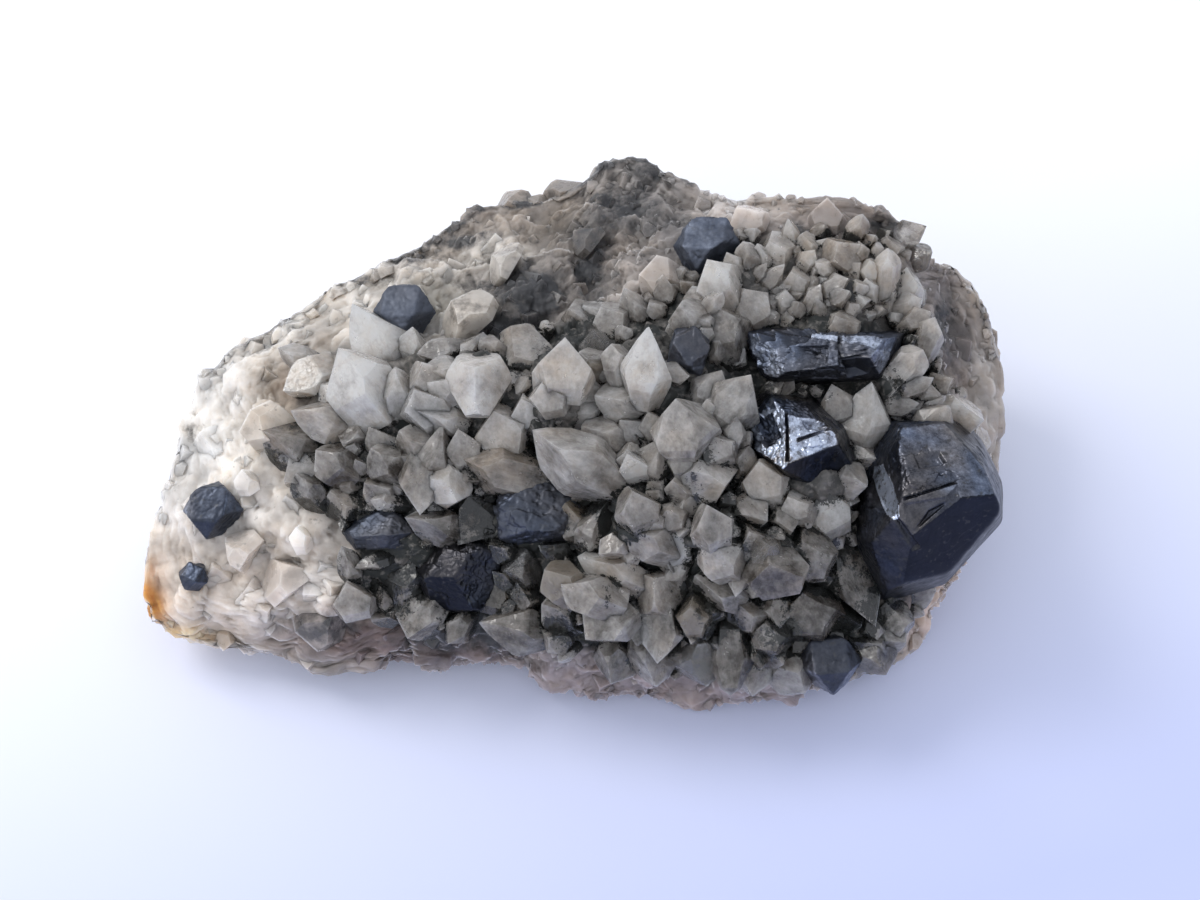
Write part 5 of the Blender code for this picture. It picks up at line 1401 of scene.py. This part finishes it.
milky = quartz_finish("milky_quartz", (0.085, 0.075, 0.066), (0.92, 0.90, 0.87), 0.5, 0.05, 0.92)
clear = quartz_finish("clear_quartz", (0.60, 0.59, 0.58), (0.95, 0.95, 0.95), 0.88, 0.04, 0.6)
smoky = quartz_finish("smoky_quartz", (0.42, 0.37, 0.31), (0.70, 0.66, 0.60), 0.7, 0.06, 0.7)
absorbing(clear, (0.85, 0.88, 0.92), 60)
absorbing(smoky, (0.62, 0.52, 0.42), 260)
for finish, names in (
    (milky, MILKY_GROUPS), (clear, ("clear_quartz_points", "clear_rock_points")), (smoky, ("smoky_quartz_points",)),
):
    for name in names:
        pieces[name].data.materials.append(finish.material)

# %% [markdown]
# ## Galena's metal
#
# Fresh galena is a bright lead-grey mirror. Here most faces are tarnished blue-black, and a few are still bright,
# so each face's shine sets how much light the metal gives back. Scratches and dust change it from place to place.
# A few small crystals are dull all over, and the metal under their film is paler and rougher.

# %% The galena finish
TARNISHED, BRIGHT_METAL, METAL_SPECKS = (0.004, 0.005, 0.010), (0.54, 0.60, 0.72), (0.05, 0.048, 0.045)
BLUISH_METAL, BROWNISH_METAL = (0.12, 0.145, 0.205), (0.175, 0.16, 0.155)
DULL_DARK, DULL_LIGHT = (0.03, 0.04, 0.065), (0.20, 0.215, 0.25)

galena = Finish("galena")
shine = galena.number("shine")
fine_change = galena.ramp(galena.noise(620, 6, 0.85), 0.34, 0.64, 0.15, 1.7)
galena_tone = galena.math("MULTIPLY", shine, fine_change)
cast = galena.ramp(galena.noise(110, 2), 0.42, 0.58)
grey_metal = galena.mix(cast, BLUISH_METAL, BROWNISH_METAL)
galena_base = galena.mix(galena.ramp(galena_tone, 0.0, 0.35), TARNISHED, grey_metal)
galena_base = galena.mix(galena.ramp(galena_tone, 0.35, 1.0), galena_base, BRIGHT_METAL)
galena_base = galena.mix(galena.ramp(galena.noise(1600, 2), 0.6, 0.7, 0, 0.7), galena_base, METAL_SPECKS)
dull = galena.number("dull")
dull_colour = galena.mix(galena.noise(480, 4, 0.7), DULL_DARK, DULL_LIGHT)
galena_base = galena.mix(galena.math("MULTIPLY", dull, 0.85), galena_base, dull_colour)
galena_roughness = galena.ramp(galena.noise(700, 3), 0.3, 0.7, 0.22, 0.45)
galena_roughness = galena.math("ADD", galena_roughness, galena.math("MULTIPLY", dull, 0.32))
galena.set(Base_Color=galena_base, Metallic=0.9, Roughness=galena_roughness)
galena.set(Normal=galena.bump(galena.noise(1500, 3, 0.6), 0.03, 0.4))
for piece in galena_pieces:
    piece.data.materials.append(galena.material)
print("finishes:", [material.name for material in bpy.data.materials])

# %% [markdown]
# ## Floor and light
#
# The specimen lies on white paper near a window behind it and to the left. The paper is brightest there, and it
# takes on a lavender cast towards the near right, where only the sky lights it; this falloff is also painted into
# the paper's colour, which goes from near white to a darker lavender. A weak, large lamp in front on the
# left stands for the light that a pale wall sends back. The whole sky is bright, so there are no hard shadows.

# %% Floor and lamps
FLOOR_REACH = 2.0


def add_floor():
    """A wide sheet of paper at the height that the specimen rests on, painted darker and more lavender to the near
    right as a painted falloff of light and painted shade.
    """
    corners = np.array([(-1, -1, 0), (1, -1, 0), (1, 1, 0), (-1, 1, 0)]) * FLOOR_REACH
    mesh = bpy.data.meshes.new("paper")
    mesh.from_pydata(corners.tolist(), [], [(0, 1, 2, 3)])
    floor = bpy.data.objects.new("paper", mesh)
    bpy.context.scene.collection.objects.link(floor)
    paper = Finish("paper")
    place = paper.node("ShaderNodeSeparateXYZ", Vector=paper.place).outputs
    # painted falloff of light and painted shade: the paper's colour goes from near white at the back left to a
    # darker lavender at the near right
    slant = paper.math("SUBTRACT", paper.math("MULTIPLY", place[0], 0.3), place[1])
    share = paper.ramp(slant, -0.025, 0.055)
    paper.set(Base_Color=paper.mix(share, (0.88, 0.89, 0.92), (0.52, 0.57, 0.84)), Roughness=0.8)
    mesh.materials.append(paper.material)


def add_lamp(name, place, size, power, colour):
    """A square soft lamp that looks at the specimen."""
    lamp = bpy.data.lights.new(name, "AREA")
    lamp.size, lamp.energy, lamp.color = size, power, colour
    holder = bpy.data.objects.new(name, lamp)
    holder.location = place
    holder.rotation_euler = (Vector(place) - Vector((0, 0, 0.015))).to_track_quat("Z", "Y").to_euler()
    bpy.context.scene.collection.objects.link(holder)


add_floor()
add_lamp("window", (-0.27, 0.13, 0.36), 0.20, 0.9, (1.0, 0.98, 0.95))
add_lamp("reflector", (-0.36, -0.28, 0.16), 0.36, 0.4, (1.0, 0.98, 0.96))
world = bpy.data.worlds.new("sky")
world.use_nodes = True
world.node_tree.nodes["Background"].inputs["Color"].default_value = (0.90, 0.94, 1.03, 1)
world.node_tree.nodes["Background"].inputs["Strength"].default_value = 1.0
bpy.context.scene.world = world
bpy.context.scene.view_settings.view_transform = "Standard"
